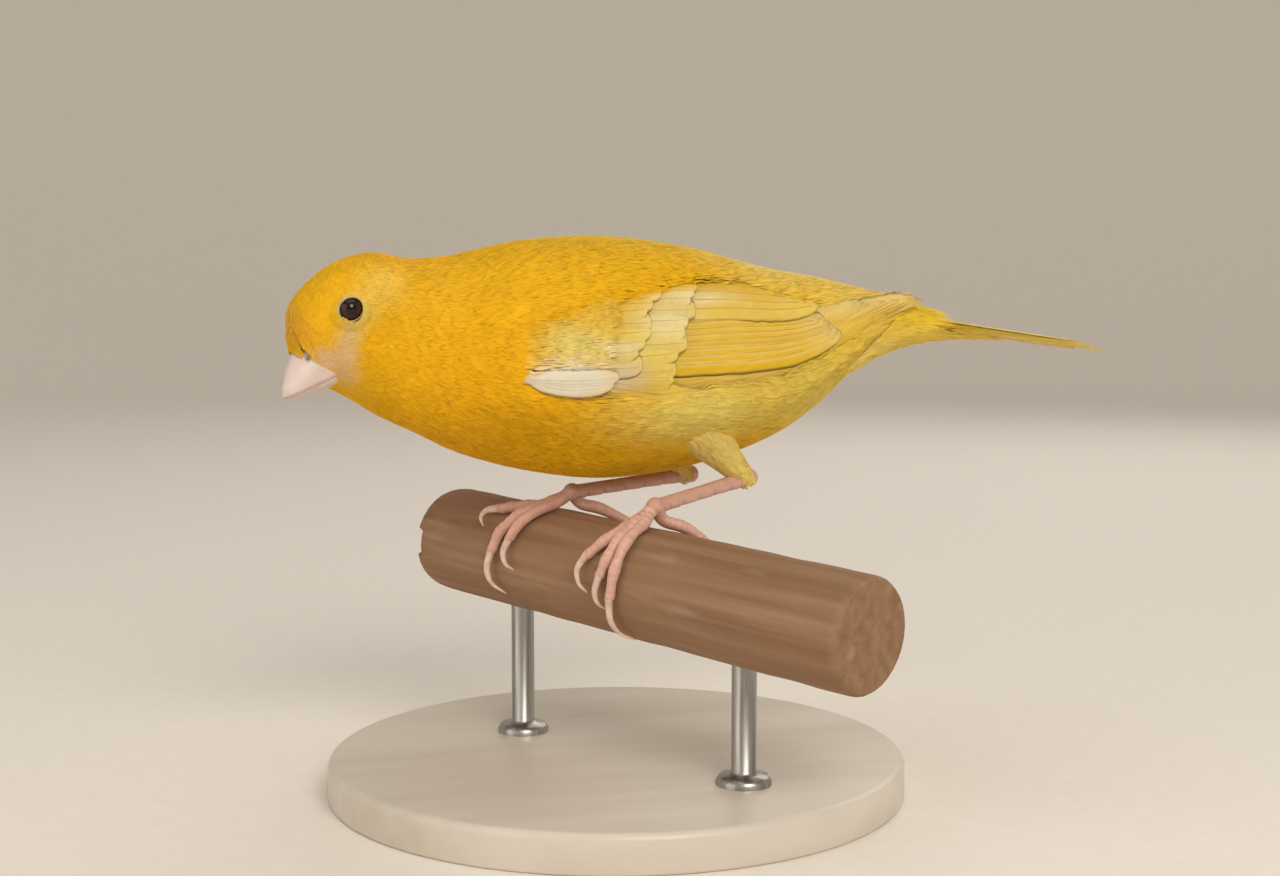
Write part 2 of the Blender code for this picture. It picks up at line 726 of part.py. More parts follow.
def make_tail(plumage, parent):
    node("tail", combined(tail_stub(), tail_feathers(), "UNION"), plumage, parent)


# Legs and feet


def curve_points(points, steps):
    """Points on a smooth line through the given ones."""
    rows = [(float(i), *p) for i, p in enumerate(points)]
    return [Vector(between(rows, (len(points) - 1) * i / steps)) for i in range(steps + 1)]


def over_foot(side, along, angle, rise):
    """A point on the perch by its place from the foot's joint, with rise over the perch's surface."""
    joint = Vector(LEGS[side]["foot"]) + BODY_AT
    station = (joint - PERCH_AT).dot(perch_direction())
    return on_perch(station + along, angle, PERCH_RADIUS + TOE_LIFT + rise)


def toe_tube(side, toe, grow=0.0):
    """A toe as a closed bmesh from the foot's joint down and round the perch, grown by grow."""
    root = TOE_RADII[toe]
    path = [Vector(LEGS[side]["foot"]) + BODY_AT]
    for i, (along, angle) in enumerate(TOES[side][toe]):
        path.append(over_foot(side, along, angle, root + (TOE_END_RADIUS - root) * i / 3))
    line = curve_points(path, TOE_STEPS)
    radii = [root + (TOE_END_RADIUS - root) * i / TOE_STEPS + grow for i in range(TOE_STEPS + 1)]
    return tube(line, radii, 8)


def claw_tube(side, toe):
    """The claw that goes on from a toe's end, rising a little clear of the perch and back to it."""
    stops = (TOES[side][toe][-1], *CLAWS[side][toe])
    path = [over_foot(side, along, angle, rise) for (along, angle), rise in zip(stops, CLAW_RISE)]
    path[0] += (path[1] - path[0]).normalized() * GAP
    radii = [CLAW_ROOT_RADIUS * (1 - (1 - CLAW_TIP_SHARE) * (i / CLAW_STEPS) ** 1.4) for i in range(CLAW_STEPS + 1)]
    return tube(curve_points(path, CLAW_STEPS), radii, 6)


def shank_tube(ankle, foot, grow=0.0):
    """The bare shank from just behind the ankle to the foot's joint, grown by grow."""
    shin = (foot - ankle).normalized()
    start = ankle - shin * (0.5 + grow)
    line = [start, ankle, ankle.lerp(foot, 0.14), ankle.lerp(foot, 0.5), foot]
    radii = (0.9, SHANK_RADII[0], SHANK_RADII[0] * 0.93, SHANK_RADII[1], SHANK_RADII[2])
    return tube(line, [r + grow for r in radii], 10)


def make_legs(plumage, skin, horn, parent):
    """Feathered thighs, bare shanks, feet with four toes each, and a claw on every toe."""
    for side, joints in LEGS.items():
        knee, ankle, foot = (Vector(joints[k]) + BODY_AT for k in ("knee", "ankle", "foot"))
        thigh = tube([knee, knee.lerp(ankle, 0.55), ankle], THIGH_RADII, 12)
        body_room = body_loft(0.0, TORSO_TO_NECK, 22, 24)
        bmesh.ops.recalc_face_normals(body_room, faces=body_room.faces)
        for vert in body_room.verts:
            vert.co += vert.normal * GAP
        room = [body_room, shank_tube(ankle, foot, GAP)]
        node(f"thigh_{side}", combined(thigh, room, "DIFFERENCE"), plumage, parent)

        room = [ball(foot, SOLE_RADIUS + GAP), *(toe_tube(side, toe, GAP) for toe in TOES[side])]
        node(f"shank_{side}", combined(shank_tube(ankle, foot), room, "DIFFERENCE"), skin, parent)
        toes = [toe_tube(side, toe) for toe in TOES[side]]
        node(f"foot_{side}", combined(ball(foot, SOLE_RADIUS), toes, "UNION"), skin, parent)
        for toe in TOES[side]:
            node(f"claw_{side}_{toe}", claw_tube(side, toe), horn, parent)


def main():
    clear_scene()
    bird = bpy.data.objects.new("canary", None)
    bpy.context.scene.collection.objects.link(bird)

    yellow = material("yellow plumage", (0.72, 0.42, 0.02), 0.75)
    lemon = material("pale wing plumage", (0.80, 0.62, 0.16), 0.7)
    horn = material("pink bill horn", (0.72, 0.50, 0.42), 0.38)
    claw = material("pale claw horn", (0.68, 0.52, 0.42), 0.4)
    skin = material("pink scaled skin", (0.62, 0.36, 0.30), 0.5)
    eye = material("dark eye", (0.035, 0.012, 0.010), 0.08)
    wood = material("brown perch wood", (0.33, 0.20, 0.12), 0.8)
    lacquer = material("pale lacquered base", (0.62, 0.55, 0.45), 0.45)
    steel = material("brushed steel", (0.58, 0.57, 0.55), 0.35, 1.0)

    make_perch(wood)
    make_stand(lacquer, steel)
    make_body(yellow, bird)
    make_head(yellow, horn, eye, bird)
    make_wings(lemon, bird)
    make_tail(lemon, bird)
    make_legs(yellow, skin, claw, bird)


main()
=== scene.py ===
import math

import bmesh
import bpy
import numpy as np
from mathutils import Matrix, Vector


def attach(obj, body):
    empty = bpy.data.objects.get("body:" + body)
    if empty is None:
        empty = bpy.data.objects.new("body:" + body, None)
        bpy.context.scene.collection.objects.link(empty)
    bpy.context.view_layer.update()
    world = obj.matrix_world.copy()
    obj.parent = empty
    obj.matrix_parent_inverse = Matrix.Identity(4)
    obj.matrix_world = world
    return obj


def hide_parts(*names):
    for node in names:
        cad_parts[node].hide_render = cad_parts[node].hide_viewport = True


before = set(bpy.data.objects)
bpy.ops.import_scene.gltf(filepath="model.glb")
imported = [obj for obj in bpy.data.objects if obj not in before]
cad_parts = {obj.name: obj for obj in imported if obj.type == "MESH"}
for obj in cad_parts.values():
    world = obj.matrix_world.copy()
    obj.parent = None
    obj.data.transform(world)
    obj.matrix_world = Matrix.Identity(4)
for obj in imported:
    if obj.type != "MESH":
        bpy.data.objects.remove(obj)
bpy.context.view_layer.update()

# Lengths are in millimetres until a mesh is finished, and in the frame's own axes: the bird faces -X, its
# left side is towards -Y and +Z is up.
MM = 0.001
SEED = 7

# The perch and its stand
BASE_RADIUS = 46.0
BASE_HEIGHT = 6.0
ROD_RADIUS = 1.9
COLLAR_RADIUS = 4.2
COLLAR_HEIGHT = 1.6
ROD_STATIONS = {"far": -21.0, "near": 27.0}
PERCH_AT = np.array((-1.1, -2.3, 34.6))
PERCH_PLAN_ANGLE = math.radians(57.8)
PERCH_DIP = math.radians(3.9)
PERCH_RADIUS = 8.7
PERCH_FAR = -39.5
PERCH_NEAR = 50.0
NOTCH_WIDTH = 4.4
NOTCH_DEPTH = 2.6

# The body's sections from the tail's root to the bill's root, measured from BODY_AT: the back line's x
# and z, the belly line's x and z, the half width, and how much narrower the section is below.
BODY_AT = np.array((0.0, 4.0, 69.0))
OUTLINE = (
    (46, 10, 45.5, 4, 4.6, 0), (36, 12.6, 37.5, -5.4, 8.4, 0), (25, 14.4, 27.5, -12.6, 12.2, 0),
    (12, 17.6, 13.5, -17.4, 15.6, 0), (-2, 19.2, -1, -19.2, 16.8, 0), (-15, 18.4, -13.5, -17.8, 16.2, 0),
    (-25, 16.2, -24.5, -14.8, 13.8, 0), (-32.5, 15.5, -31.5, -11.4, 11.2, 0.04),
    (-39, 16.4, -37.5, -8.6, 9.4, 0.1), (-45.2, 14.2, -41.4, -6.2, 8.6, 0.24),
    (-50.5, 9.1, -44.4, -4.6, 6.2, 0.42), (-51.6, 3.7, -46.6, -3.4, 3.2, 0.3),
)
LAST_STATION = len(OUTLINE) - 1.0
FULLNESS = 2.15
NECK_BEND_FROM = -18.0
NECK_BEND_LENGTH = 22.0
NECK_TURN = math.radians(13.0)
NECK_RATE = NECK_TURN / NECK_BEND_LENGTH

# The head's own frame: forward, left and up from the skull's middle, which is pitched down
SKULL_AT = np.array((-43.4, 0.0, 8.8))
HEAD_PITCH = math.radians(39.0)
EYE_FORWARD = 1.55
EYE_UP = 0.1
EYE_RADIUS = 2.0
EYE_OUT = 0.7
# Bill sections: forward, culmen, mouth line, underside, half width
BILL = (
    (5.2, 0.6, -7.4, -9.4, 4.3), (8.2, 0, -6.9, -8.9, 4.1), (11.2, -1.1, -6.3, -7.9, 3.1),
    (14.2, -3, -5.7, -6.6, 1.7), (16.3, -4.8, -5.3, -5.65, 0.35),
)
BILL_FULLNESS = 2.3
NOSTRIL = (9.7, 2.5, -2.7)

# The bed that a folded wing lies on: x, top z, bottom z and half width, measured from BODY_AT
WING_BED = (
    (-25, 16.2, -14.8, 13.8), (-14, 18.4, -17.8, 16.3), (-1.5, 19.2, -19.2, 16.9), (13, 17.6, -17.4, 15.7),
    (26, 14.6, -12, 12.6), (36, 13.6, -4, 9.8), (46, 13.4, 3, 6.2), (58, 13, 6.8, 3.8),
)
# The cone of coverts that closes the rump and the vent on to the tail, told as the wing's bed is
VENT_BED = (
    (24, 14.2, -12.4, 11.4), (31, 13.4, -9.6, 9.8), (38, 12, -4.9, 8), (46, 10.2, -0.2, 5.9),
    (54, 7.9, 2, 4.9), (64, 5.7, 2.5, 4.3), (74, 4.1, 1.7, 4),
)
# The wing thins towards the back by this much, between these angles
WING_SLOPE = 0.9
WING_SLOPE_ANGLES = (10.0, 52.0)

TAIL_TIP_X = 83.0
TAIL_DROP = 5.4
TAIL_FEATHER_PAIRS = 6

# Legs, from BODY_AT
LEGS = {
    "left": {"knee": (11, -8.6, -9.5), "ankle": (20.4, -7.4, -19.4), "foot": (3.9, -13, -22.8)},
    "right": {"knee": (6, 8, -10), "ankle": (13.9, 4.2, -19.7), "foot": (-5.8, 2.5, -21.9)},
}
THIGH_RADII = ((0, 5.2), (0.55, 2.9), (1, 1.6))
SHANK_RADII = (
    (0, 0.3), (0.02, 0.75), (0.06, 1.15), (0.16, 1.42), (0.3, 1.24), (0.55, 1.08), (0.85, 1.12), (1, 1.2),
)
# Toes and claws as places on the perch: how far along it from the foot's joint, and the angle over it,
# where 0 is its crest and + the side that the bird faces. The first four are the toe's, the rest the
# claw's.
TOES = {
    "left": {
        "inner": ((-1.3, 14), (-2, 34), (-3.6, 50), (-5.3, 64), (-5.9, 76), (-5.3, 88), (-3.9, 96)),
        "middle": ((-0.6, 16), (-0.5, 40), (-0.8, 62), (-1.5, 80), (-1.7, 92), (-1.2, 102), (0, 108)),
        "outer": ((0.5, 14), (1.1, 42), (1.4, 70), (1, 98), (1, 115), (1.6, 130), (3.6, 141)),
        "hind": ((0.4, -14), (2.4, -30), (4.6, -46), (6.2, -62), (7.2, -78), (7.8, -92), (8, -104)),
    },
    "right": {
        "inner": ((-1.3, 10), (-2.7, 34), (-3.8, 54), (-4.2, 66), (-4.3, 77), (-3.5, 87), (-2.1, 92)),
        "middle": ((-1.8, 10), (-4.6, 38), (-6.6, 60), (-7.5, 82), (-7.7, 97), (-7, 110), (-5, 121)),
        "outer": ((-2.2, 12), (-5.4, 24), (-8.2, 31), (-10.4, 36), (-11.9, 42), (-12.3, 50), (-11.4, 57)),
        "hind": ((0.4, -14), (3, -24), (5.6, -34), (8, -46), (9.2, -58), (10, -70), (10.2, -82)),
    },
}
TOE_POINTS = 4
TOE_RADII = {"inner": 1.0, "middle": 1.15, "outer": 1.0, "hind": 1.1}
TOE_KNUCKLES = {"inner": 3, "middle": 4, "outer": 4, "hind": 2}
TOE_END_RADIUS = 0.8
TOE_LIFT = 0.4
TOE_PLATES = 15.0
SHANK_PLATES = 11.0
CLAW_RISE = (0.85, 1.15, 1.0, 0.4)
CLAW_ROOT_RADIUS = 0.66

# The camera stands where the photograph's did
CAMERA_AT = (-69.8, -275.0, 79.6)
CAMERA_YAW = math.radians(15.0)
CAMERA_DIP = math.radians(4.7)
CAMERA_LENS = 50.3


# Curves and surfaces


def curve_at(rows, key):
    """The values at an array of keys on a smooth curve through rows, whose first number is the key."""
    rows = np.asarray(rows, float)
    keys = rows[:, 0]
    last = len(rows) - 1
    i = np.clip(np.searchsorted(keys, key, side="right") - 1, 0, last - 1)
    before, after = np.maximum(i - 1, 0), np.minimum(i + 2, last)
    span = (keys[i + 1] - keys[i])[..., None]
    t = (key - keys[i])[..., None] / span
    low, high = rows[i, 1:], rows[i + 1, 1:]
    slope_low = (high - rows[before, 1:]) / (keys[i + 1] - keys[before])[..., None] * span
    slope_high = (rows[after, 1:] - low) / (keys[after] - keys[i])[..., None] * span
    ends = low * (1 + 2 * t) * (1 - t) ** 2 + slope_low * t * (1 - t) ** 2
    return ends + high * t * t * (3 - 2 * t) - slope_high * t * t * (1 - t)


def curve_parts(rows, key):
    """The same values one by one."""
    return np.moveaxis(curve_at(rows, key), -1, 0)


def full(value, fullness=FULLNESS):
    """A sine or cosine made fuller, so that a section is a little squarer than an ellipse."""
    return np.sign(value) * np.abs(value) ** (2 / fullness)


def joined(*values):
    """The values side by side on a last axis, such as points from their x, y and z."""
    return np.stack(np.broadcast_arrays(*values), axis=-1)


def norm(vectors):
    return np.linalg.norm(vectors, axis=-1)


def unit(vectors):
    return vectors / np.maximum(norm(vectors)[..., None], 1e-9)


def held(value):
    """The value kept between 0 and 1."""
    return np.clip(value, 0.0, 1.0)


def smooth_step(value):
    value = held(value)
    return value * value * (3.0 - 2.0 * value)


def eased(value, start, end):
    """0 up to start, 1 from end on, and smooth between. The end may be the lower of the two."""
    return smooth_step((value - start) / (end - start))


def turn_neck(points):
    """The points with the neck and head turned to the bird's left, on a bend of even radius."""
    x, side, z = np.moveaxis(points, -1, 0)
    along = np.maximum(NECK_BEND_FROM - x, 0.0)
    bent = np.minimum(along, NECK_BEND_LENGTH)
    angle = NECK_RATE * bent
    straight = along - bent
    ahead = np.maximum(x, NECK_BEND_FROM)
    x = ahead - np.sin(angle) / NECK_RATE - straight * np.cos(angle) - side * np.sin(angle)
    y = -(1 - np.cos(angle)) / NECK_RATE - straight * np.sin(angle) + side * np.cos(angle)
    return joined(x, y, z)


def unturned(points):
    """The points as they were before turn_neck, for those of the head."""
    x = points[..., 0] - (NECK_BEND_FROM - math.sin(NECK_TURN) / NECK_RATE)
    y = points[..., 1] + (1 - math.cos(NECK_TURN)) / NECK_RATE
    back = -x * math.cos(NECK_TURN) - y * math.sin(NECK_TURN)
    side = -x * math.sin(NECK_TURN) + y * math.cos(NECK_TURN)
    return joined(NECK_BEND_FROM - NECK_BEND_LENGTH - back, side, points[..., 2])


def wing_thinning(angle):
    """How far the folded wing has thinned, 0 to 1, at an angle round its bed."""
    return eased(angle, *WING_SLOPE_ANGLES)


def round_section(angle, top, bottom, half):
    """Side and height on a full section: 0 is its left side and 90 its top."""
    rise = full(np.sin(np.radians(angle)))
    return -half * full(np.cos(np.radians(angle))), (top + bottom) / 2 + rise * (top - bottom) / 2


class Surface:
    """A surface told by two coordinates. Its flat gives points from BODY_AT before the neck is turned."""

    outward = -1.0
    steps = (0.2, 1.0)
    turned = False

    def settle(self, b, lift):
        return np.asarray(lift)

    def place(self, a, b):
        flat = self.flat(a, b)
        return (turn_neck(flat) if self.turned else flat) + BODY_AT

    def slopes(self, a, b, cover=None):
        """How it runs along both coordinates, and its outward normal.

        With a cover they are those of a coat that stands cover(a, b) off the surface.
        """

        def stand(at_a, at_b):
            point = self.place(at_a, at_b)
            if cover is None:
                return point
            return point + self.slopes(at_a, at_b)[2] * cover(at_a, at_b)[..., None]

        step_a, step_b = self.steps
        along_a = (stand(a + step_a, b) - stand(a - step_a, b)) / (2 * step_a)
        along_b = (stand(a, b + step_b) - stand(a, b - step_b)) / (2 * step_b)
        return along_a, along_b, unit(np.cross(along_b, along_a)) * self.outward

    def scales(self, a, b, least):
        """Millimetres for each step of both coordinates."""
        return (np.maximum(norm(along), least) for along in self.slopes(a, b)[:2])

    def raised(self, a, b, lift):
        """Points that stand lift over the surface."""
        return self.place(a, b) + self.slopes(a, b)[2] * self.settle(b, lift)[..., None]


class Body(Surface):
    """The body's surface by station, from the tail's root to the bill, and angle: 0 left, 90 the back."""

    outward = 1.0
    steps = (0.02, 1.0)
    turned = True
    bake = ((-1.0, LAST_STATION + 0.6), (-180.0, 180.0))
    rows = tuple((i, *row) for i, row in enumerate(OUTLINE))

    def flat(self, station, angle):
        back_x, back_z, belly_x, belly_z, half, taper = curve_parts(self.rows, station)
        rise = full(np.sin(np.radians(angle))) / 2
        side = -half * full(np.cos(np.radians(angle))) * (1 + taper * rise * 2)
        x = (back_x + belly_x) / 2 + rise * (back_x - belly_x)
        return joined(x, side, (back_z + belly_z) / 2 + rise * (back_z - belly_z))


class Bed(Surface):
    """A bed for feathers by x and angle round its section, which thins towards the back."""

    def __init__(self, rows, bake, slope=0.0):
        self.rows, self.bake, self.slope = rows, bake, slope

    def settle(self, angle, lift):
        return lift - self.slope * wing_thinning(angle)

    def flat(self, x, angle):
        return joined(x, *round_section(angle, *curve_parts(self.rows, x)))


class Thigh(Surface):
    """A feathered thigh by share of its length from the knee, and angle round it."""

    steps = (0.01, 1.0)
    bake = ((-0.1, 1.2), (-180.0, 180.0))

    def __init__(self, side):
        self.knee = np.array(LEGS[side]["knee"])
        self.along = np.array(LEGS[side]["ankle"]) - self.knee
        axis = unit(self.along)
        self.side = unit(np.cross(axis, (0, 0, 1)))
        self.up = np.cross(self.side, axis)

    def flat(self, share, angle):
        turn = np.radians(angle)[..., None]
        ring = self.side * np.cos(turn) + self.up * np.sin(turn)
        return self.knee + self.along * share[..., None] + curve_at(THIGH_RADII, share) * ring


class TailBlade(Surface):
    """The tail's upper face by x and y, a little lower towards either side."""

    steps = (0.2, 0.2)
    bake = ((30.0, 96.0), (-16.0, 16.0))

    def flat(self, x, y):
        root_x, root_z, _, root_low, _, _ = OUTLINE[0]
        middle = (root_z + root_low) / 2 - TAIL_DROP * (x - root_x) / (TAIL_TIP_X - root_x)
        return joined(x, y, middle - np.abs(y) * 0.09)


class Brow(Surface):
    """The step from the forehead's edge down to the bill, by share of the way and the body's angle."""

    outward = 1.0
    steps = (0.04, 1.0)
    turned = True
    bake = ((-0.5, 2.5), (0.0, 180.0))
    forward = 11.0

    def flat(self, share, angle):
        edge = BODY.flat(np.full_like(share, LAST_STATION), angle)
        culmen, mouth, _, half = curve_at(BILL, np.array(self.forward))
        side = held(np.abs(edge[..., 1]) / half)
        up = mouth + (culmen - mouth) * (1 - side**BILL_FULLNESS) ** (1 / BILL_FULLNESS) - 0.05
        x, z = pitched(self.forward, up)
        bill = joined(x + SKULL_AT[0], edge[..., 1], z + SKULL_AT[2])
        return edge + (bill - edge) * share[..., None]


def pitched(a, b):
    """Forward and up as x and z, or x and z as forward and up: one turn does both."""
    cos, sin = math.cos(HEAD_PITCH), math.sin(HEAD_PITCH)
    return -a * cos - b * sin, -a * sin + b * cos


BODY = Body()
BROW = Brow()
TAIL = TailBlade()
WING = Bed(WING_BED, ((-30.0, 66.0), (-60.0, 100.0)), WING_SLOPE)
VENT = Bed(VENT_BED, ((20.0, 80.0), (-180.0, 180.0)))


def head_point(forward, left, up):
    """Points of the head's frame in the model's frame."""
    x, z = pitched(forward, up)
    return turn_neck(joined(x, -left, z) + SKULL_AT) + BODY_AT


def in_head(flat):
    """Forward, distance from the middle plane, and up in the head's frame, for points before the turn."""
    x, y, z = np.moveaxis(flat - SKULL_AT, -1, 0)
    forward, up = pitched(x, z)
    return joined(forward, np.abs(y), up)


def nearest(away, *grids):
    """What each grid holds where away is least."""
    i = np.unravel_index(np.argmin(away), away.shape)
    return [grid[i] for grid in grids]


def eye_seat(sign):
    """The eyeball's middle, the direction it looks in, and the place on the face that it breaks through."""
    station, angle = np.meshgrid(np.linspace(8.0, LAST_STATION, 160), np.arange(-60.0, 80.0, 1.0))
    target = head_point(EYE_FORWARD, 0.0, EYE_UP)
    left = head_point(EYE_FORWARD, sign, EYE_UP) - target
    off = BODY.place(station, angle if sign > 0 else 180.0 - angle) - target
    side = off @ left
    out = nearest(norm(off - side[..., None] * left), side)[0]
    seat = head_point(EYE_FORWARD, sign * out, EYE_UP)
    look = unit(head_point(EYE_FORWARD + 0.14, sign * (out + 1.0), EYE_UP + 0.06) - seat)
    return seat + look * (EYE_OUT - EYE_RADIUS), look, seat


EYES = {"left": eye_seat(1.0), "right": eye_seat(-1.0)}


# Colours, as a screen shows them, 0 to 255


def tone(colour):
    """The colour in the linear numbers that a shader takes."""
    share = np.array(colour) / 255.0
    return np.where(share <= 0.04045, share / 12.92, ((share + 0.055) / 1.055) ** 2.4)


GOLD = (242, 184, 18)
THIGH_YELLOW = (248, 220, 122)
CRESCENT_CREAM = (250, 240, 214)
WING_CREAM = (248, 229, 168)
WING_LEMON = (244, 222, 118)
WING_YELLOW = (240, 196, 44)
WING_GOLD = (238, 184, 30)
WING_ROSE = (230, 206, 162)
# Soft patches of plumage: where, how far it reaches each way, its colour and how much of it shows. Those
# on the body and the wing are told by x, distance from the middle and z from BODY_AT.
BODY_PATCHES = (
    ((-30, 0, 12), (14, 20, 8), (240, 182, 30), 0.7),
    ((-24, 10, -4), (16, 14, 12), (244, 180, 12), 0.9),
    ((-22, 0, -14), (18, 16, 10), (238, 170, 14), 0.75),
    ((0, 0, 18), (24, 15, 9), (240, 192, 34), 0.9),
    ((24, 0, 15), (15, 16, 8), (245, 218, 108), 0.95),
    ((38, 0, 6), (14, 16, 12), (246, 216, 98), 0.9),
    ((10, 14, -8), (18, 8, 6.5), (246, 222, 112), 1),
    ((28, 8, -5), (15, 14, 10), (244, 218, 98), 0.9),
    ((32, 0, -10), (10, 8, 6), (248, 230, 140), 0.6),
    ((2, 0, -18), (16, 12, 6), (246, 194, 40), 0.6),
)
# Patches on the head, told by forward, distance from the middle and up
HEAD_PATCHES = (
    ((4, 0, 8), (6, 8, 5), (240, 180, 34), 0.8),
    ((8.6, 0, 3.6), (3, 5, 3.4), (226, 170, 64), 0.7),
    ((8.4, 3.6, 0.8), (2.8, 4, 2.4), (236, 170, 40), 0.75),
    ((4.2, 7, -2.9), (2.3, 4, 2.1), (220, 194, 138), 0.85),
    ((6, 6, -5), (2.2, 4, 2.1), (222, 190, 144), 0.85),
    ((7.8, 5, -7.6), (2.2, 4, 2.6), (222, 190, 140), 0.7),
    ((8.2, 4.4, -4), (1.9, 3, 2.6), (226, 194, 160), 0.75),
    ((0.8, 8.4, -1), (3.3, 3, 3), (222, 210, 124), 0.6),
    ((-4.4, 8, -0.2), (4.8, 4.4, 3.8), (246, 204, 84), 0.8),
    ((0.4, 8, -6.2), (4.4, 4.4, 3.6), (248, 188, 20), 0.85),
    ((6, 0, -11.4), (4.6, 5, 3), (244, 190, 44), 0.7),
)
WING_PATCHES = (
    ((6, 17, 2), (15, 60, 8), WING_LEMON, 0.8),
    ((30, 12, 2), (22, 60, 10), WING_LEMON, 0.7),
    ((-10.4, 16, 2.4), (5, 60, 2.8), (243, 222, 124), 0.9),
    ((-3.4, 16, 1.9), (4.2, 60, 1.1), WING_CREAM, 1),
    ((4.8, 16, 5.6), (5.6, 60, 3), WING_CREAM, 0.85),
    ((9, 16, 9.2), (7.6, 60, 1.2), WING_CREAM, 0.9),
    ((-1.6, 16, -2), (3, 60, 2.6), WING_ROSE, 0.8),
    ((-10.6, 16, -2.5), (7.4, 60, 2.7), CRESCENT_CREAM, 1.25),
    ((14, 16, -6), (10, 60, 3.4), (238, 204, 84), 0.6),
)


def evenly(colour, flat):
    return np.broadcast_to(tone(colour), flat.shape)


def blend(colour, other, share):
    """The colour with a share of the other for each point."""
    return colour + (tone(other) - colour) * share[..., None]


def patched(colour, patches, places, edge, power):
    """The colour with soft patches laid over it."""
    for centre, reach, patch, strength in patches:
        share = strength * held(edge - norm((places - centre) / reach)) ** power
        colour = blend(colour, patch, held(share))
    return colour


def both_sides(flat):
    return np.abs(flat * (0, 1, 0)) + flat * (1, 0, 1)


def plumage_colour(flat):
    """The plumage's colour at points told from BODY_AT before the neck is turned."""
    colour = patched(evenly(GOLD, flat), BODY_PATCHES, both_sides(flat), 1.35, 1.5)
    return patched(colour, HEAD_PATCHES, in_head(flat), 1.35, 1.5)


def wing_colour(flat):
    return patched(evenly(WING_GOLD, flat), WING_PATCHES, both_sides(flat), 1.4, 1.2)


def covert_colour(flat):
    """The tail coverts' yellow, paler below."""
    return blend(evenly((246, 206, 58), flat), (250, 222, 120), held((6.0 - flat[..., 2]) / 7.0))


# Materials


HORN = {"roughness": 0.34, "subsurface_weight": 0.3, "subsurface_radius": (1.0, 0.45, 0.3)}


class Finish:
    """A material in the making, with its node tree and its shader."""

    def __init__(self, name, roughness, **settings):
        self.material = bpy.data.materials.new(name)
        self.material.use_nodes = True
        self.tree = self.material.node_tree
        self.shader = self.tree.nodes["Principled BSDF"]
        self.set(self.shader, roughness=roughness, **settings)

    def set(self, node, **values):
        """Sets properties and sockets by name, and links a socket that gets another node's output."""
        for key, value in values.items():
            socket = key.replace("_", " ").title().replace("Ior", "IOR")
            if isinstance(value, bpy.types.NodeSocket):
                self.tree.links.new(value, node.inputs[socket])
            elif hasattr(node, key):
                setattr(node, key, value)
            else:
                node.inputs[socket].default_value = value
        return node

    def add(self, kind, **values):
        return self.set(self.tree.nodes.new("ShaderNode" + kind), **values)

    def painted(self, name, output="Color"):
        """The piece's own values under that name."""
        return self.add("Attribute", attribute_name=name).outputs[output]

    def noise(self, scale, detail=4.0, stretch=(1.0, 1.0, 1.0), turn=(0.0, 0.0, 0.0)):
        """Noise on the piece's own coordinates, scale in patches for each metre."""
        place = self.add("TexCoord").outputs["Object"]
        turned = self.add("Mapping", vector=place, rotation=turn).outputs["Vector"]
        place = self.add("Mapping", vector=turned, scale=stretch).outputs["Vector"]
        return self.add("TexNoise", vector=place, scale=scale, detail=detail).outputs["Fac"]

    def ramp(self, factor, *stops):
        """The colour for a factor, with the stops given as (position, colour)."""
        node = self.add("ValToRGB", fac=factor)
        elements = node.color_ramp.elements
        while len(elements) < len(stops):
            elements.new(0.5)
        for element, (position, colour) in zip(elements, stops):
            element.position = position
            element.color = (*tone(colour), 1.0)
        return node.outputs["Color"]

    def mix(self, factor, first, second, blend_type="MIX"):
        node = self.add("Mix", data_type="RGBA", blend_type=blend_type, factor=factor)
        for socket, colour in ((6, first), (7, second)):
            if isinstance(colour, bpy.types.NodeSocket):
                self.tree.links.new(colour, node.inputs[socket])
            else:
                node.inputs[socket].default_value = (*tone(colour), 1.0)
        return node.outputs[2]

    def mottled(self, colour, factor, low, high):
        """The colour times a grey that runs from low to high with the factor."""
        grey = self.add("MapRange", value=factor, to_min=low, to_max=high).outputs["Result"]
        return self.mix(1.0, colour, grey, "MULTIPLY")

    def done(self, colour, relief=None, distance=0.0, strength=1.0):
        self.set(self.shader, base_color=colour)
        if relief is not None:
            bump = self.add("Bump", height=relief, distance=distance, strength=strength)
            self.set(self.shader, normal=bump.outputs["Normal"])
        return self.material


def plumage_material():
    """Body feathers, with a fine uneven silkiness."""
    made = Finish("canary plumage", 0.62, specular_ior_level=0.18)
    return made.done(made.mottled(made.painted("Plumage"), made.noise(260.0, 3.0), 0.88, 1.14))


def vane_material():
    """Flight feathers, crossed by fine barbs that slant away from the shaft."""
    made = Finish("canary flight feather", 0.5, specular_ior_level=0.25)
    barbs = made.add("UVMap", uv_map="Barbs").outputs["UV"]
    wave = made.add("TexWave", vector=barbs, bands_direction="X", scale=1.0, distortion=1.2, detail=2.0,
                    detail_scale=1.5).outputs["Fac"]
    return made.done(made.mottled(made.painted("Plumage"), wave, 0.86, 1.06), wave, 0.00006, 0.8)


def bill_material():
    """Translucent horn, faintly mottled."""
    made = Finish("canary bill horn", **HORN, subsurface_scale=0.0009)
    colour = made.mottled(made.painted("Horn"), made.noise(520.0, 5.0), 0.86, 1.1)
    return made.done(colour, made.noise(3600.0, 3.0), 0.00003, 0.6)


def claw_material():
    """Translucent horn, with growth lines."""
    made = Finish("canary claw horn", **HORN, subsurface_scale=0.0012)
    colour = made.ramp(made.noise(700.0, 5.0), (0.3, (206, 168, 150)), (0.65, (230, 208, 192)))
    return made.done(colour, made.noise(6300.0, 3.0, (1.0, 1.0, 0.25)), 0.00005, 0.6)


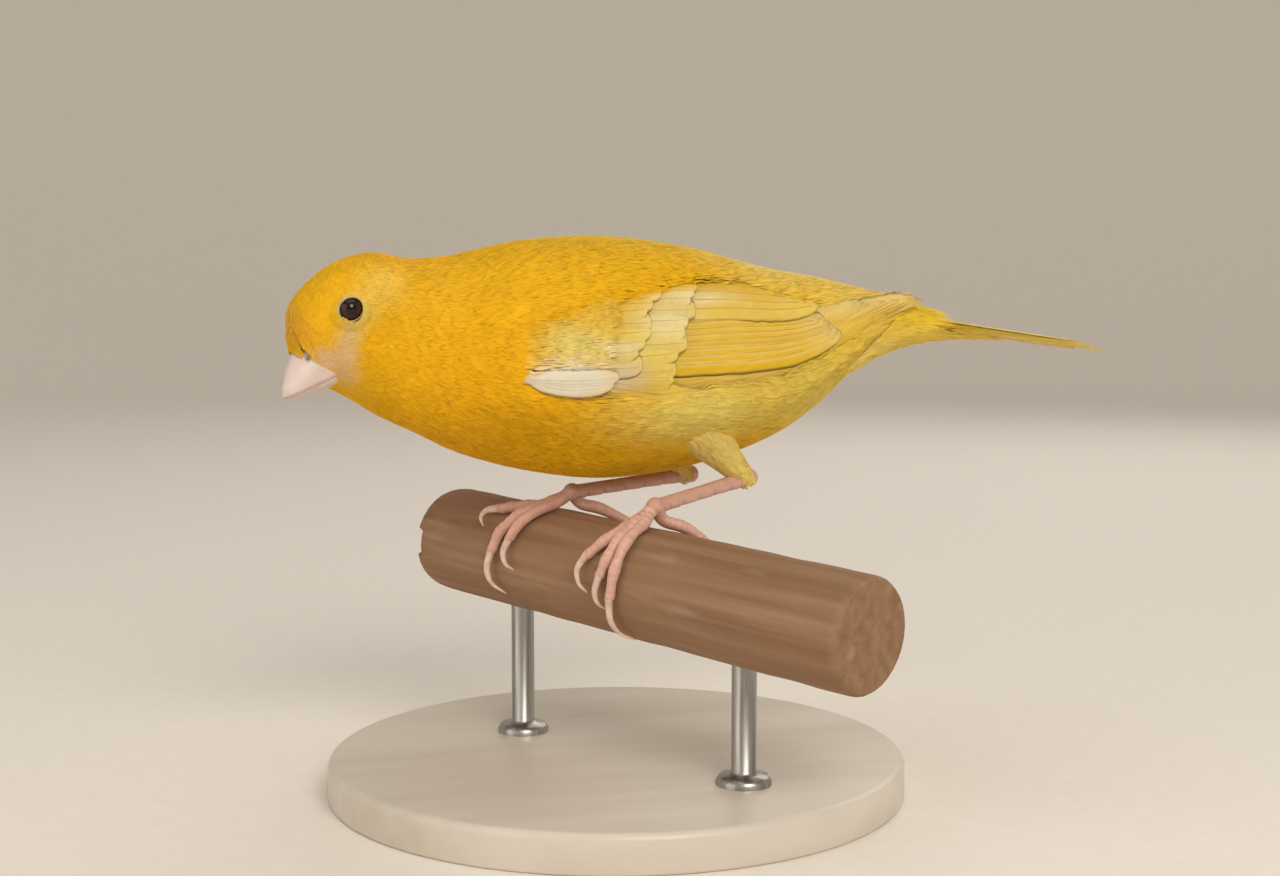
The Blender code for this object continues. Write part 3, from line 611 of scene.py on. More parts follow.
def scute_material():
    """The pink scaled skin of the legs."""
    made = Finish("canary leg scutes", 0.44, subsurface_weight=0.25, subsurface_scale=0.0010,
                  subsurface_radius=(1.0, 0.4, 0.25))
    colour = made.mottled(made.painted("Scutes"), made.noise(900.0, 4.0), 0.78, 1.2)
    place = made.add("TexCoord").outputs["Object"]
    cells = made.add("TexVoronoi", vector=place, scale=2600.0).outputs["Distance"]
    return made.done(colour, cells, 0.00004, 0.5)


def eye_material():
    """A wet dark eye: a black pupil in a deep red-brown iris."""
    made = Finish("canary eye", 0.02, specular_ior_level=0.4)
    shifted = made.add("Math", operation="MULTIPLY_ADD")
    made.tree.links.new(made.noise(1800.0, 4.0), shifted.inputs[0])
    shifted.inputs[1].default_value = 0.08
    made.tree.links.new(made.painted("Iris", "Fac"), shifted.inputs[2])
    return made.done(made.ramp(
        shifted.outputs["Value"], (0.0, (5, 3, 4)), (0.42, (6, 4, 4)), (0.5, (52, 16, 14)),
        (0.7, (62, 20, 16)), (0.9, (28, 10, 10)), (1.0, (12, 6, 6)),
    ))


def wood_material():
    """Old bare perch wood: grain along the perch, pale scuffs and dark pores."""
    made = Finish("worn perch wood", 0.78, specular_ior_level=0.25)
    turn = (Matrix.Rotation(-PERCH_DIP, 3, "Y") @ Matrix.Rotation(PERCH_PLAN_ANGLE, 3, "Z")).to_euler()
    grain = made.noise(520.0, 8.0, (0.04, 1.0, 1.0), turn)
    shades = made.ramp(
        grain, (0.3, (138, 104, 78)), (0.45, (149, 115, 87)), (0.58, (156, 122, 94)),
        (0.74, (166, 134, 107)),
    )
    scuffs = made.noise(190.0, 7.0, (0.22, 1.0, 1.0), turn)
    patch = made.add("MapRange", value=scuffs, from_min=0.6, from_max=0.8).outputs["Result"]
    worn = made.mix(patch, shades, (182, 154, 130))
    return made.done(made.mottled(worn, made.noise(60.0, 3.0), 0.86, 1.1), grain, 0.0003, 0.8)


def two_tone(name, roughness, noise, dark, pale, distance=None, strength=1.0, **settings):
    """A material of two shades that noise mixes, and that may raise them too."""
    made = Finish(name, roughness, **settings)
    factor = made.noise(*noise)
    colour = made.ramp(factor, (0.3, dark), (0.7, pale))
    return made.done(colour, factor if distance else None, distance, strength)


# Making pieces


def put(name, data):
    thing = bpy.data.objects.new(name, data)
    bpy.context.scene.collection.objects.link(thing)
    return thing


def mesh_from(name, bm):
    """The smooth mesh of a bmesh that is still in millimetres."""
    bmesh.ops.transform(bm, matrix=Matrix.Scale(MM, 4), verts=bm.verts)
    mesh = bpy.data.meshes.new(name)
    bm.to_mesh(mesh)
    bm.free()
    mesh.shade_smooth()
    return mesh


def enter(mesh, material, slot, *replaced):
    """The piece of a mesh, riding on the model."""
    mesh.materials.append(material)
    piece = put(mesh.name, mesh)
    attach(piece, "root")
    if replaced:
        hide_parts(*replaced)
    return piece


def finish_piece(name, bm, material, slot, *replaced):
    mesh = mesh_from(name, bm)
    mesh.set_sharp_from_angle(angle=math.radians(50))
    return enter(mesh, material, slot, *replaced)


def wrapped(place, along, around):
    """A closed bmesh: a grid wrapped round by place(u, v), where u runs along and v round, each 0 to 1.

    Returns the bmesh and the u and v of its vertices.
    """
    bm = bmesh.new()
    bmesh.ops.create_grid(bm, x_segments=along, y_segments=around, size=0.5)
    layers = [bm.verts.layers.float.new(name) for name in "uv"]
    u, v = (np.array([vert.co[axis] + 0.5 for vert in bm.verts]) for axis in (0, 1))
    for vert, point, *values in zip(bm.verts, place(u, v), u, v):
        vert.co = point
        for layer, value in zip(layers, values):
            vert[layer] = value
    bmesh.ops.remove_doubles(bm, verts=bm.verts, dist=1e-4)
    bmesh.ops.holes_fill(bm, edges=[e for e in bm.edges if e.is_boundary], sides=0)
    bmesh.ops.recalc_face_normals(bm, faces=bm.faces)
    return bm, *(np.array([vert[layer] for vert in bm.verts]) for layer in layers)


def turned_profile(profile, steps, least):
    """A closed bmesh of a profile of (radius, height) turned round the upright axis."""
    bm = bmesh.new()
    verts = [bm.verts.new((r, 0.0, z)) for r, z in profile]
    edges = [bm.edges.new(pair) for pair in zip(verts, verts[1:])]
    bmesh.ops.spin(
        bm, geom=verts + edges, axis=(0, 0, 1), cent=(0, 0, 0), angle=2 * math.pi, steps=steps,
        use_merge=True,
    )
    bmesh.ops.remove_doubles(bm, verts=bm.verts, dist=least)
    bmesh.ops.recalc_face_normals(bm, faces=bm.faces)
    return bm


def ball(radius, across, up):
    bm = bmesh.new()
    bmesh.ops.create_uvsphere(bm, u_segments=across, v_segments=up, radius=radius)
    return bm


def paint(mesh, name, colours):
    """A colour for each vertex, kept under the name."""
    layer = mesh.color_attributes.new(name, "FLOAT_COLOR", "POINT")
    values = np.ones((len(colours), 4), np.float32)
    values[:, :3] = colours
    layer.data.foreach_set("color", values.ravel())


def map_layer(mesh, name, values):
    mesh.uv_layers.new(name=name).data.foreach_set("uv", values.astype(np.float32).ravel())


def swept(line, radius_at, along, around, side_of=(0.0, 0.0, 1.0)):
    """A closed bmesh round a line of points, with radius_at(u, turn) in millimetres."""
    rows = np.column_stack((np.linspace(0, 1, len(line)), line))

    def place(u, v):
        ahead = unit(curve_at(rows, np.minimum(u + 0.01, 1.0)) - curve_at(rows, np.maximum(u - 0.01, 0.0)))
        side = unit(np.cross(ahead, side_of))
        turn = 2 * np.pi * v[:, None]
        ring = side * np.cos(turn) + np.cross(side, ahead) * np.sin(turn)
        return curve_at(rows, u) + radius_at(u, turn[:, 0])[:, None] * ring

    return wrapped(place, along, around)


def ring_faces(ring, sections):
    """The faces of a tube of rings of points, closed at both ends."""
    loops = []
    for i in range(sections - 1):
        for k in range(ring):
            n = (k + 1) % ring
            loops += [i * ring + k, (i + 1) * ring + k, (i + 1) * ring + n, i * ring + n]
    last = (sections - 1) * ring
    loops += [*range(ring), *range(last + ring - 1, last - 1, -1)]
    return loops, [4] * (ring * (sections - 1)) + [ring, ring]


# Joined feathers


class Flock:
    """Strands and vanes gathered into one mesh, with their colours and their places on the bake map."""

    def __init__(self):
        self.points, self.colours, self.bake, self.barbs, self.normals = [], [], [], [], []
        self.loops, self.sizes = [], []
        self.count = 0

    def gather(self, points, colours, bake, faces, barbs=None, normals=None):
        """Adds many like shapes: points is (shapes, vertices, 3), and faces one shape's loops and sizes.

        Strands bring their own normals, so that they shade as one soft coat and not as single splinters.
        """
        shapes, vertices, _ = points.shape
        loops, sizes = faces
        offsets = self.count + np.arange(shapes)[:, None] * vertices
        self.points.append(points.reshape(-1, 3))
        self.colours.append(np.broadcast_to(colours, points.shape).reshape(-1, 3))
        self.bake.append(bake.reshape(-1, 2))
        self.barbs.append(np.zeros((shapes * vertices, 2)) if barbs is None else barbs.reshape(-1, 2))
        if normals is not None:
            self.normals.append(normals.reshape(-1, 3))
        self.loops.append((offsets + np.asarray(loops)).ravel())
        self.sizes.append(np.tile(sizes, shapes))
        self.count += shapes * vertices

    def mirror(self):
        """The same feathers on the bird's other side."""
        twin = Flock()
        twin.points = [p * (1, -1, 1) + (0, 2 * BODY_AT[1], 0) for p in self.points]
        twin.normals = [n * (1, -1, 1) for n in self.normals]
        twin.colours, twin.bake, twin.barbs, twin.sizes = self.colours, self.bake, self.barbs, self.sizes
        for loops, sizes in zip(self.loops, self.sizes):
            ends = np.cumsum(sizes)
            first_and_last = np.repeat(ends - sizes + ends - 1, sizes)
            twin.loops.append(loops[first_and_last - np.arange(len(loops))])
        return twin

    def piece(self, name, material, slot, *replaced):
        points, loops, sizes = (np.concatenate(lists) for lists in (self.points, self.loops, self.sizes))
        mesh = bpy.data.meshes.new(name)
        mesh.vertices.add(len(points))
        mesh.vertices.foreach_set("co", (points * MM).astype(np.float32).ravel())
        mesh.loops.add(len(loops))
        mesh.loops.foreach_set("vertex_index", loops.astype(np.int32))
        mesh.polygons.add(len(sizes))
        mesh.polygons.foreach_set("loop_start", (np.cumsum(sizes) - sizes).astype(np.int32))
        mesh.update(calc_edges=True)
        mesh.shade_smooth()
        paint(mesh, "Plumage", np.concatenate(self.colours))
        map_layer(mesh, "OFBake", np.concatenate(self.bake)[loops])
        map_layer(mesh, "Barbs", np.concatenate(self.barbs)[loops])
        if self.normals:
            mesh.normals_split_custom_set_from_vertices(np.concatenate(self.normals).astype(np.float32))
        return enter(mesh, material, slot, *replaced)


def bake_place(surface, a, b):
    """A root's place on the unwrap of its surface."""
    (low_a, high_a), (low_b, high_b) = surface.bake
    b = np.where(b > high_b, b - 360.0, b)
    share = joined((a - low_a) / (high_a - low_a), (b - low_b) / (high_b - low_b))
    return np.clip(0.004 + 0.988 * share, 0.002, 0.994)


def scatter(surface, span_a, span_b, spacing, chance):
    """Jittered rows of roots over a stretch of a surface, spacing apart."""
    roots = []
    a = span_a[0]
    shift = 0.0
    stretch = span_b[1] - span_b[0]
    while a < span_a[1]:
        middle = np.linspace(*span_b, 24)
        along_a, along_b, _ = surface.slopes(np.full_like(middle, a), middle)
        count = max(3, int(round(norm(along_b).mean() * stretch / spacing)))
        gap = stretch / count
        b = span_b[0] + gap * (np.arange(count) + 0.25 + shift)
        step = spacing * 0.9 / max(norm(along_a).mean(), 1e-6)
        row_a = a + chance.uniform(-0.45, 0.45, count) * step
        roots.append(joined(row_a, b + chance.uniform(-0.45, 0.45, count) * gap))
        shift = 0.5 - shift
        a += step
    return np.concatenate(roots)


BAKE_PATCH = 0.003
# One strand: three sides from its root over its middle to its tip
STRAND_FACES = (
    (0, 3, 4, 1, 1, 4, 5, 2, 2, 5, 3, 0, 3, 6, 4, 4, 6, 5, 5, 6, 3, 0, 1, 2), (4, 4, 4, 3, 3, 3, 3),
)
STRAND_SHARES = np.array((0.0, 0.52, 1.0))
STRAND_WIDTHS = np.array((0.7, 1.0, 0.0))
STRAND_RISE_POWER = 1.7
# Each of its corners: its side, and its place across and along its patch of the bake map
STRAND_SIDES = np.array((-1.0, 1.0, 0.0, -1.0, 1.0, 0.0, 0.0))
STRAND_ACROSS = np.array((0.8, 1.0, 0.9, 0.9, 1.1, 1.0, 1.0))
STRAND_ALONG = np.array((-1.0, -1.0, -1.0, 0.0, 0.0, 0.0, 1.0))
# How unevenly a tuft heads, in degrees, and its strands fan out; how much shorter its outermost strands
# are; and how light and dark tufts and strands come out
HEADING_JITTER = 3.5
FAN_JITTER = 0.16
OUTER_SHORTENING = 0.28
SHADES = (0.94, 1.05)


def strand_shapes(middle, normal, width, across):
    """The corners of strands on their middle lines, and the normals that they shade with."""
    ahead = unit(middle[:, :, 2] - middle[:, :, 0])[:, :, None]
    side = unit(np.cross(ahead, normal))
    widths = width[:, None, None, None] * STRAND_WIDTHS[:, None]
    corners = (-side * widths, side * widths, normal * widths * 0.6)
    ring = np.stack([middle + corner for corner in corners], axis=3)
    points = np.concatenate((ring[:, :, 0], ring[:, :, 1], middle[:, :, 2:]), axis=2)
    side = side[:, :, 0, None]
    lean = side * STRAND_SIDES[:, None] * 0.28 + across[..., None, None] * side * 0.2
    return points, unit(normal[:, :, 1, None] + lean + ahead[:, :, 0, None] * 0.12)


def tufts(
    flock, surface, roots, chance, length, spread, strands, strand_width, lift, toward=-1.0, drift=0.0,
    colour=plumage_colour, stray=0.12, ragged=0.12, close=0.78, cover=None,
):
    """A soft feather at each root: strands that fan out and close again along the coat's lie.

    Toward is the sign in which the first coordinate runs to the feather's tip, drift the slant towards
    the second coordinate in degrees, and lift the heights over the surface at root and tip. Stray and
    ragged are how unevenly the tips rise and end, and close is how wide they stay. Numbers may be arrays,
    one for each root. Cover gives how far the whole coat stands off the surface at its places.
    """
    count = len(roots)
    a, b = roots.T
    scale_a, scale_b = surface.scales(a, b, 1e-3)
    for_each = (length, spread, drift, strand_width, *lift)
    length, spread, drift, strand_width, low, high = (
        np.broadcast_to(np.asarray(value, float), (count,)) for value in for_each
    )
    heading = np.radians(drift + chance.normal(0.0, HEADING_JITTER, count))

    def moved(forward, sideways):
        """The places that lie so far forward and sideways of the roots along the lie."""
        each = (slice(None), *(None,) * (forward.ndim - 1))
        cos, sin = np.cos(heading)[each], np.sin(heading)[each]
        at_a = a[each] + toward * (forward * cos - sideways * sin) / scale_a[each]
        return at_a, b[each] + (forward * sin + sideways * cos) / scale_b[each]

    across = np.linspace(-1.0, 1.0, strands) + chance.uniform(-FAN_JITTER, FAN_JITTER, (count, strands))
    uneven = chance.uniform(1.0 - ragged, 1.0 + ragged * 0.6, (count, strands))
    reach = length[:, None] * (1.0 - OUTER_SHORTENING * across**2) * uneven
    rise = high[:, None] + chance.normal(0.0, stray, (count, strands))
    sideways = across[..., None] * spread[:, None, None] * np.array((0.35, 0.95, close))
    at_a, at_b = moved(reach[..., None] * STRAND_SHARES, sideways)
    ease = 1.0 - (1.0 - STRAND_SHARES) ** STRAND_RISE_POWER
    heights = surface.settle(at_b, low[:, None, None] + (rise - low[:, None])[..., None] * ease)

    # The normals come from each tuft's middle line, so that its strands keep together.
    mid_a, mid_b = moved(length[:, None] * STRAND_SHARES, 0.0)
    normal = surface.slopes(mid_a, mid_b)[2][:, None]
    if cover is not None:
        heights = heights + cover(at_a, at_b)
    middle = surface.place(at_a, at_b) + normal * heights[..., None]
    if cover is not None:
        normal = surface.slopes(mid_a, mid_b, cover)[2][:, None]
    points, normals = strand_shapes(middle, normal, strand_width, across)

    base = colour(surface.flat(mid_a[:, 1], mid_b[:, 1])) * chance.uniform(*SHADES, (count, 1))
    # Each strand is painted a little darker at its root and lighter at its tip: painted shade deep in the
    # coat. The random shades are the feathers' own uneven tone.
    light = 0.98 + 0.05 * STRAND_ALONG
    light = light * chance.uniform(*SHADES, (count, strands, 1))
    colours = base[:, None, None, :] * light[..., None]
    patch = joined(across[..., None] * 0.5 * STRAND_ACROSS, STRAND_ALONG * 0.9)
    bake = bake_place(surface, a, b)[:, None, None, :] + np.clip(patch, -1, 1) * BAKE_PATCH / 2
    flock.gather(
        points.reshape(-1, 7, 3), colours.reshape(-1, 7, 3), bake, STRAND_FACES, normals=normals,
    )


VANE_SECTIONS = 22
VANE_COLUMNS = 7
VANE_MIDDLE = VANE_COLUMNS // 2
VANE_FACES = ring_faces(2 * VANE_COLUMNS - 2, VANE_SECTIONS)
VANE_THICKNESS = 0.1
# The shares of a vane's length at which it is full width, begins to narrow, and begins to take the
# colour of its rim
VANE_FULL_FROM = 0.16
VANE_TIP_FROM = 0.62
VANE_RIM_FROM = 0.78
# The barbs' slant along the vane, and how ragged its edges are
BARB_SLANT = 0.35
EDGE_JITTER = 0.05
SHAFT_STOPS = 8
SHAFT_WIDTHS = (0.12, 0.04)


def there_and_back(top, under=None):
    """Values for the ring round a vane: over its top and back along its underside."""
    return np.concatenate((top, (top if under is None else under)[:, -2:0:-1]), axis=1)


def web_colours(t, s, web, rim, chance):
    """A vane's colours: that of its webs, streaked, which turns to the rim's at its tip and edges."""
    fade = held((t - VANE_RIM_FROM) / (1.0 - VANE_RIM_FROM))[..., None] * 0.75
    streak = chance.uniform(0.95, 1.04, (VANE_SECTIONS, VANE_COLUMNS, 1))
    edge = (np.abs(s) > 0.8)[None, :, None] * 0.5
    return (web[None] * (1 - fade) + rim * fade) * streak * (1 - edge) + rim * edge


def lay_vane(
    flock, surface, root, tip, width, lift, chance, paints, tilt=0.0, bend=0.0, camber=0.25, outer=0.4,
    sunk=0.9, point=0.5, dip=0.0, field=None,
):
    """One flight feather: a thin cambered blade with slightly ragged edges and a raised shaft.

    Root and tip are places on the surface; outer is the share of the width on its low side; bend is how
    far its line bows, sunk how deep its root lies, dip how far its tip comes down, and point how sharp
    that is. Paints gives the colours of the outer web, the inner web, the shaft and the tip's rim. With a
    field, which gives the colour of places on the surface, they are multiples of that.
    """
    t = np.linspace(0.0, 1.0, VANE_SECTIONS)[:, None]
    s = np.linspace(-1.0, 1.0, VANE_COLUMNS)
    tip_share = held((t - VANE_TIP_FROM) / (1.0 - VANE_TIP_FROM))
    half = np.clip(t / VANE_FULL_FROM, 0.25, 1.0) ** 0.5 * (1.0 - tip_share**2.2) ** point
    half = np.maximum(half, 0.03) * width
    low_edge, high_edge = (
        half * share * (1 + chance.uniform(-EDGE_JITTER, EDGE_JITTER, VANE_SECTIONS))[:, None]
        for share in (outer, 1 - outer)
    )
    offset = s * np.where(s < 0, low_edge, high_edge)
    a = root[0] + (tip[0] - root[0]) * t
    b = root[1] + (tip[1] - root[1]) * t + bend * 4 * t * (1 - t)
    scale_a, scale_b = surface.scales(a, b, 0.02)
    at_b = b + offset / scale_b
    # The barbs slant, so the edges of the web reach a little further along than its shaft.
    at_a = a + np.abs(offset) * BARB_SLANT / scale_a
    height = lift - sunk * (1 - t) ** 2.2 + tilt * (0.5 - s / 2) - camber * s**2 * (0.3 + half / width)
    height = height - dip * t**3
    top = surface.raised(at_a, at_b, height + VANE_THICKNESS / 2)
    under = surface.raised(at_a, at_b, height - VANE_THICKNESS / 2)

    outer_web, inner_web, shaft_colour, rim = paints
    colour = web_colours(t, s, np.where(s[:, None] < 0, outer_web, inner_web), rim, chance)
    if field is not None:
        shades = field(surface.flat(at_a, at_b))
        colour = np.minimum(colour * shades, 0.92)
        shaft_colour = shaft_colour * shades[VANE_SECTIONS // 2, VANE_MIDDLE]

    middle = bake_place(surface, root[0] * 0.4 + tip[0] * 0.6, (root[1] + tip[1]) / 2)
    patch = joined(s * 0.95, t * 1.9 - 0.95) * BAKE_PATCH * 1.6
    reach = norm(top[-1, VANE_MIDDLE] - top[0, VANE_MIDDLE])
    barbs = joined(t * reach * 1.15 - np.abs(offset) * 0.9, offset)
    flock.gather(
        there_and_back(top, under).reshape(1, -1, 3), there_and_back(colour).reshape(1, -1, 3),
        there_and_back(patch) + middle, VANE_FACES, there_and_back(barbs),
    )
    shaft = (values[:, VANE_MIDDLE] for values in (at_a, at_b, height + VANE_THICKNESS / 2))
    lay_shaft(flock, surface, *shaft, shaft_colour, middle)


def lay_shaft(flock, surface, a, b, height, colour, bake):
    """The raised shaft along a vane: a slim three-sided rod that tapers to its tip."""
    keep = np.linspace(0, len(a) - 2, SHAFT_STOPS).astype(int)
    a, b, height = a[keep], b[keep], height[keep]
    normal = surface.slopes(a, b)[2]
    middle = surface.raised(a, b, height)
    side = unit(np.cross(unit(np.gradient(middle, axis=0)), normal))
    width = np.linspace(*SHAFT_WIDTHS, SHAFT_STOPS)[:, None]
    points = np.stack((middle - side * width, middle + side * width, middle + normal * width), axis=1)
    bake = np.broadcast_to(bake, (SHAFT_STOPS * 3, 2))
    flock.gather(points.reshape(1, -1, 3), colour, bake, ring_faces(3, SHAFT_STOPS))


# Skin


# How deep the coat is from the tail's root to the bill, and the shares of that depth at which the skin and
# the feathers' roots lie
COAT_DEPTHS = ((-1, 1), (1, 1.3), (6.5, 1.3), (8.5, 0.8), (10, 0.5), (12, 0.35))
SKIN_SHARE = 0.9
ROOT_SHARE = 0.42
THIGH_SKIN_DEPTH = 0.75
# The hollow that the skin leaves round each eye: how far it reaches and how deep it is
EYE_HOLLOW = (2.4, 0.9)
# The skin takes the plumage's colours a little darker: painted shade under the coat
SKIN_PAINTED_SHADE = 0.92


def coat_depth(station):
    """How deep the body feathers lie over the skin at a station."""
    return curve_at(COAT_DEPTHS, station)[..., 0]


def make_skin(material):
    """One skin for torso, neck, head and thighs, under the whole coat."""

    def torso(u, v):
        station = u * LAST_STATION
        point = BODY.raised(station, v * 360.0, -coat_depth(station) * SKIN_SHARE)
        reach, depth = EYE_HOLLOW
        for _, look, seat in EYES.values():
            point = point - look * (held(1.0 - norm(point - seat) / reach) * depth)[..., None]
        return point

    bm, u, v = wrapped(torso, 150, 96)
    places = [(BODY, u * LAST_STATION, v * 360.0)]
    for side in LEGS:
        thigh = Thigh(side)

        def shin(u, v):
            return thigh.raised(-0.05 + u * 1.03, v * 360.0, np.full(u.shape, -THIGH_SKIN_DEPTH))

        leg, u, v = wrapped(shin, 20, 24)
        places.append((thigh, u, v * 360.0))
        scratch = bpy.data.meshes.new("scratch")
        leg.to_mesh(scratch)
        leg.free()
        bm.from_mesh(scratch)
        bpy.data.meshes.remove(scratch)
    nodes = ("torso", "neck", "head", "thigh_left", "thigh_right")
    mesh = finish_piece("skin", bm, material, "yellow_plumage", *nodes).data
    # Painted shade: the skin is a little darker than the plumage over it
    colours = [plumage_colour(on.flat(a, b)) * SKIN_PAINTED_SHADE for on, a, b in places]
    paint(mesh, "Plumage", np.concatenate(colours))
    corners = np.empty(len(mesh.loops), np.int32)
    mesh.loops.foreach_get("vertex_index", corners)
    map_layer(mesh, "OFBake", np.concatenate([bake_place(*place) for place in places])[corners])


# Plumage


def eye_distance(points):
    return np.min([norm(points - seat) for _, _, seat in EYES.values()], axis=0)


def in_bill(points, grow):
    """Whether points on the head lie inside the bill, made larger by grow."""
    forward, side, up = np.moveaxis(in_head(unturned(points - BODY_AT)), -1, 0)
    culmen, _, under, half = curve_parts(BILL, np.clip(forward, BILL[0][0], BILL[-1][0]))
    middle, tall = (culmen + under) / 2, (culmen - under) / 2 + grow
    inside = (side / (half + grow)) ** 2 + ((up - middle) / tall) ** 2 < 1.0
    return inside & (forward > BILL[0][0] - 0.6)


# How near an eye's middle feathers may come, how far off they are still pushed aside, how much of a
# crossing one is kept, and the shortest feather
EYE_CLEARANCE = 2.15
PARTING_REACH = 3.2
CROSSING_KEPT = 0.72
SHORTEST = 0.45


def part_round_eyes(roots, length, drift):
    """Feathers near an eye flow round it, and those that would cross it are shortened or left out."""
    points = BODY.place(*roots.T)
    along_a, along_b, _ = BODY.slopes(*roots.T)
    ahead, side = -unit(along_a), unit(along_b)
    for _, _, seat in EYES.values():
        off = points - seat
        push = held(1.0 - (norm(off) - EYE_CLEARANCE) / PARTING_REACH)
        forward, lateral = (np.einsum("ij,ij->i", off, axis) for axis in (ahead, side))
        # In front of the eye the coat is pushed aside, and behind it closes again.
        push = push * 1.1 * np.sign(lateral) * np.exp(-(lateral / 2.6) ** 2) * (forward < 1.0)
        drift = drift + np.degrees(push)
    turn = np.radians(drift)[:, None]
    heading = ahead * np.cos(turn) + side * np.sin(turn)
    for share in (0.25, 0.5, 0.75, 1.0, 1.15):
        crosses = eye_distance(points + heading * (length * share)[:, None]) < EYE_CLEARANCE
        length = np.where(crosses, np.minimum(length, length * share * CROSSING_KEPT), length)
    fine = (eye_distance(points) > EYE_CLEARANCE) & (length > SHORTEST)
    return roots[fine], length[fine], drift[fine]


# The part of the folded wing that shows between the body's feathers, by x: lowest and highest angle
WING_WINDOW = (
    (-19, -14, 13), (-12, -15.5, 19), (-4, -15.5, 28), (4, -14.5, 37), (12, -13.5, 42), (20, -13, 43),
    (27, -11, 35), (33, -7, 28), (40, -1, 26),
)
WINDOW_SPAN = (-18.5, 39.0)
# How high the body's feathers stand where they lie over the wing, by x
WING_COVER = ((-32, 2.5), (-4, 2.65), (6, 2.5), (16, 2.1), (28, 2.2), (38, 2.4), (50, 2))
# Where that cover rises from nothing in front, by x, and at the belly, by angle. Above the wing it falls
# off from this angle at the latest, over so many degrees.
COVER_FRONT = (-30.0, -17.0)
COVER_BELLY = (-50.0, -12.0)
COVER_EDGE = 42.0
COVER_FADE = 46.0
# The shares by which it is lower below the wing, and where its tips reach over the wing
LOW_EDGE_DIP = 0.22
EDGE_DIP = 0.3


def window_at(x, angle):
    """The angle as one of the left side, -90 to 90, and the wing window's lowest and highest there."""
    angle = (angle + 180.0) % 360.0 - 180.0
    angle = np.where(np.abs(angle) > 90.0, np.sign(angle) * 180.0 - angle, angle)
    return angle, *curve_parts(WING_WINDOW, np.clip(x, WING_WINDOW[0][0], WING_WINDOW[-1][0]))


def in_window(x, angle):
    """Whether a place is where the wing itself shows."""
    angle, low, high = window_at(x, angle)
    return (x > WINDOW_SPAN[0]) & (x < WINDOW_SPAN[1]) & (angle > low) & (angle < high)


def wing_cover(x, angle):
    """How far the coat stands off the body there, to close smoothly over the wing's edges."""
    angle, under, over = window_at(x, angle)
    edge = np.where(x < 12.0, COVER_EDGE, np.minimum(over + 6.0, COVER_EDGE))
    top = 1.0 - eased(angle, edge, edge + COVER_FADE)
    low = 1.0 - LOW_EDGE_DIP * eased(angle, 6.0, -8.0) * eased(x, -20.0, -14.0)
    low = eased(angle, *COVER_BELLY) * low
    reach = np.clip(x, WING_COVER[0][0], WING_COVER[-1][0])
    height = curve_parts(WING_COVER, reach)[0] - wing_thinning(angle) * WING_SLOPE * 0.9
    within = eased(angle, over, over - 5.0) * eased(angle, under, under + 5.0)
    within = within * eased(x, -19.0, -15.0) * eased(x, 41.0, 37.0)
    height = np.maximum(height, 0.0) * (1.0 - EDGE_DIP * within)
    return eased(x, *COVER_FRONT) * top * low * height


# How long the feathers are from the tail's root to the bill
FEATHER_LENGTHS = (
    (0, 6), (2, 6.2), (4, 5.6), (6, 4.8), (7, 3.8), (8, 2.9), (9, 2.3), (10, 1.8), (11, 1.35),
)
ALL_ROUND = (-180.0, 180.0)
# Bands of the coat, small enough to hand over: their stations and the feathers' spacing, and for the head
# the strands of each feather
BODY_BANDS = (
    ("coat_rump", (0.1, 2.1), 1.12),
    ("coat_loins", (2.1, 3.6), 1.12),
    ("coat_middle", (3.6, 5), 1.08),
    ("coat_breast", (5, 6.5), 1),
    ("coat_neck", (6.5, 7.9), 0.9),
)
HEAD_BANDS = (("coat_head", (7.9, 9.2), 0.6, 7), ("coat_face", (9.2, 11.04), 0.42, 6))


# Strands for each body feather, their half width, and a feather's half spread as a share of its length
BODY_STRANDS = 11
BODY_STRAND_WIDTH = 0.175
BODY_SPREAD = 0.29
# Behind this x some feathers lie under the wing, so that no gap opens beside it.
UNDER_WING_X = 14.0


def feather_lengths(roots, chance):
    return curve_at(FEATHER_LENGTHS, roots[:, 0])[:, 0] * chance.uniform(0.85, 1.1, len(roots))


def root_lift(station):
    return -coat_depth(station) * ROOT_SHARE


def make_body_coat(material):
    """The body's feathers from the tail's root to the neck."""
    for index, (name, span, spacing) in enumerate(BODY_BANDS):
        chance = np.random.default_rng(SEED + index)
        flock = Flock()
        roots = scatter(BODY, span, ALL_ROUND, spacing, chance)
        x = BODY.flat(*roots.T)[:, 0]
        over = ~in_window(x, roots[:, 1])
        wanted = over | (x > UNDER_WING_X)
        roots, over = roots[wanted], over[wanted]

        def cover(a, b):
            return wing_cover(BODY.flat(a, b)[..., 0], b) * over.reshape(-1, *(1,) * (a.ndim - 1))

        length = feather_lengths(roots, chance)
        station, angle = roots.T
        waves = 5.0 * np.sin(station * 2.1 + angle / 23.0)
        tufts(
            flock, BODY, roots, chance, length, length * BODY_SPREAD, BODY_STRANDS, BODY_STRAND_WIDTH,
            (root_lift(station), 0.12), drift=waves, stray=0.035, cover=cover,
        )
        flock.piece(name, material, "yellow_plumage")


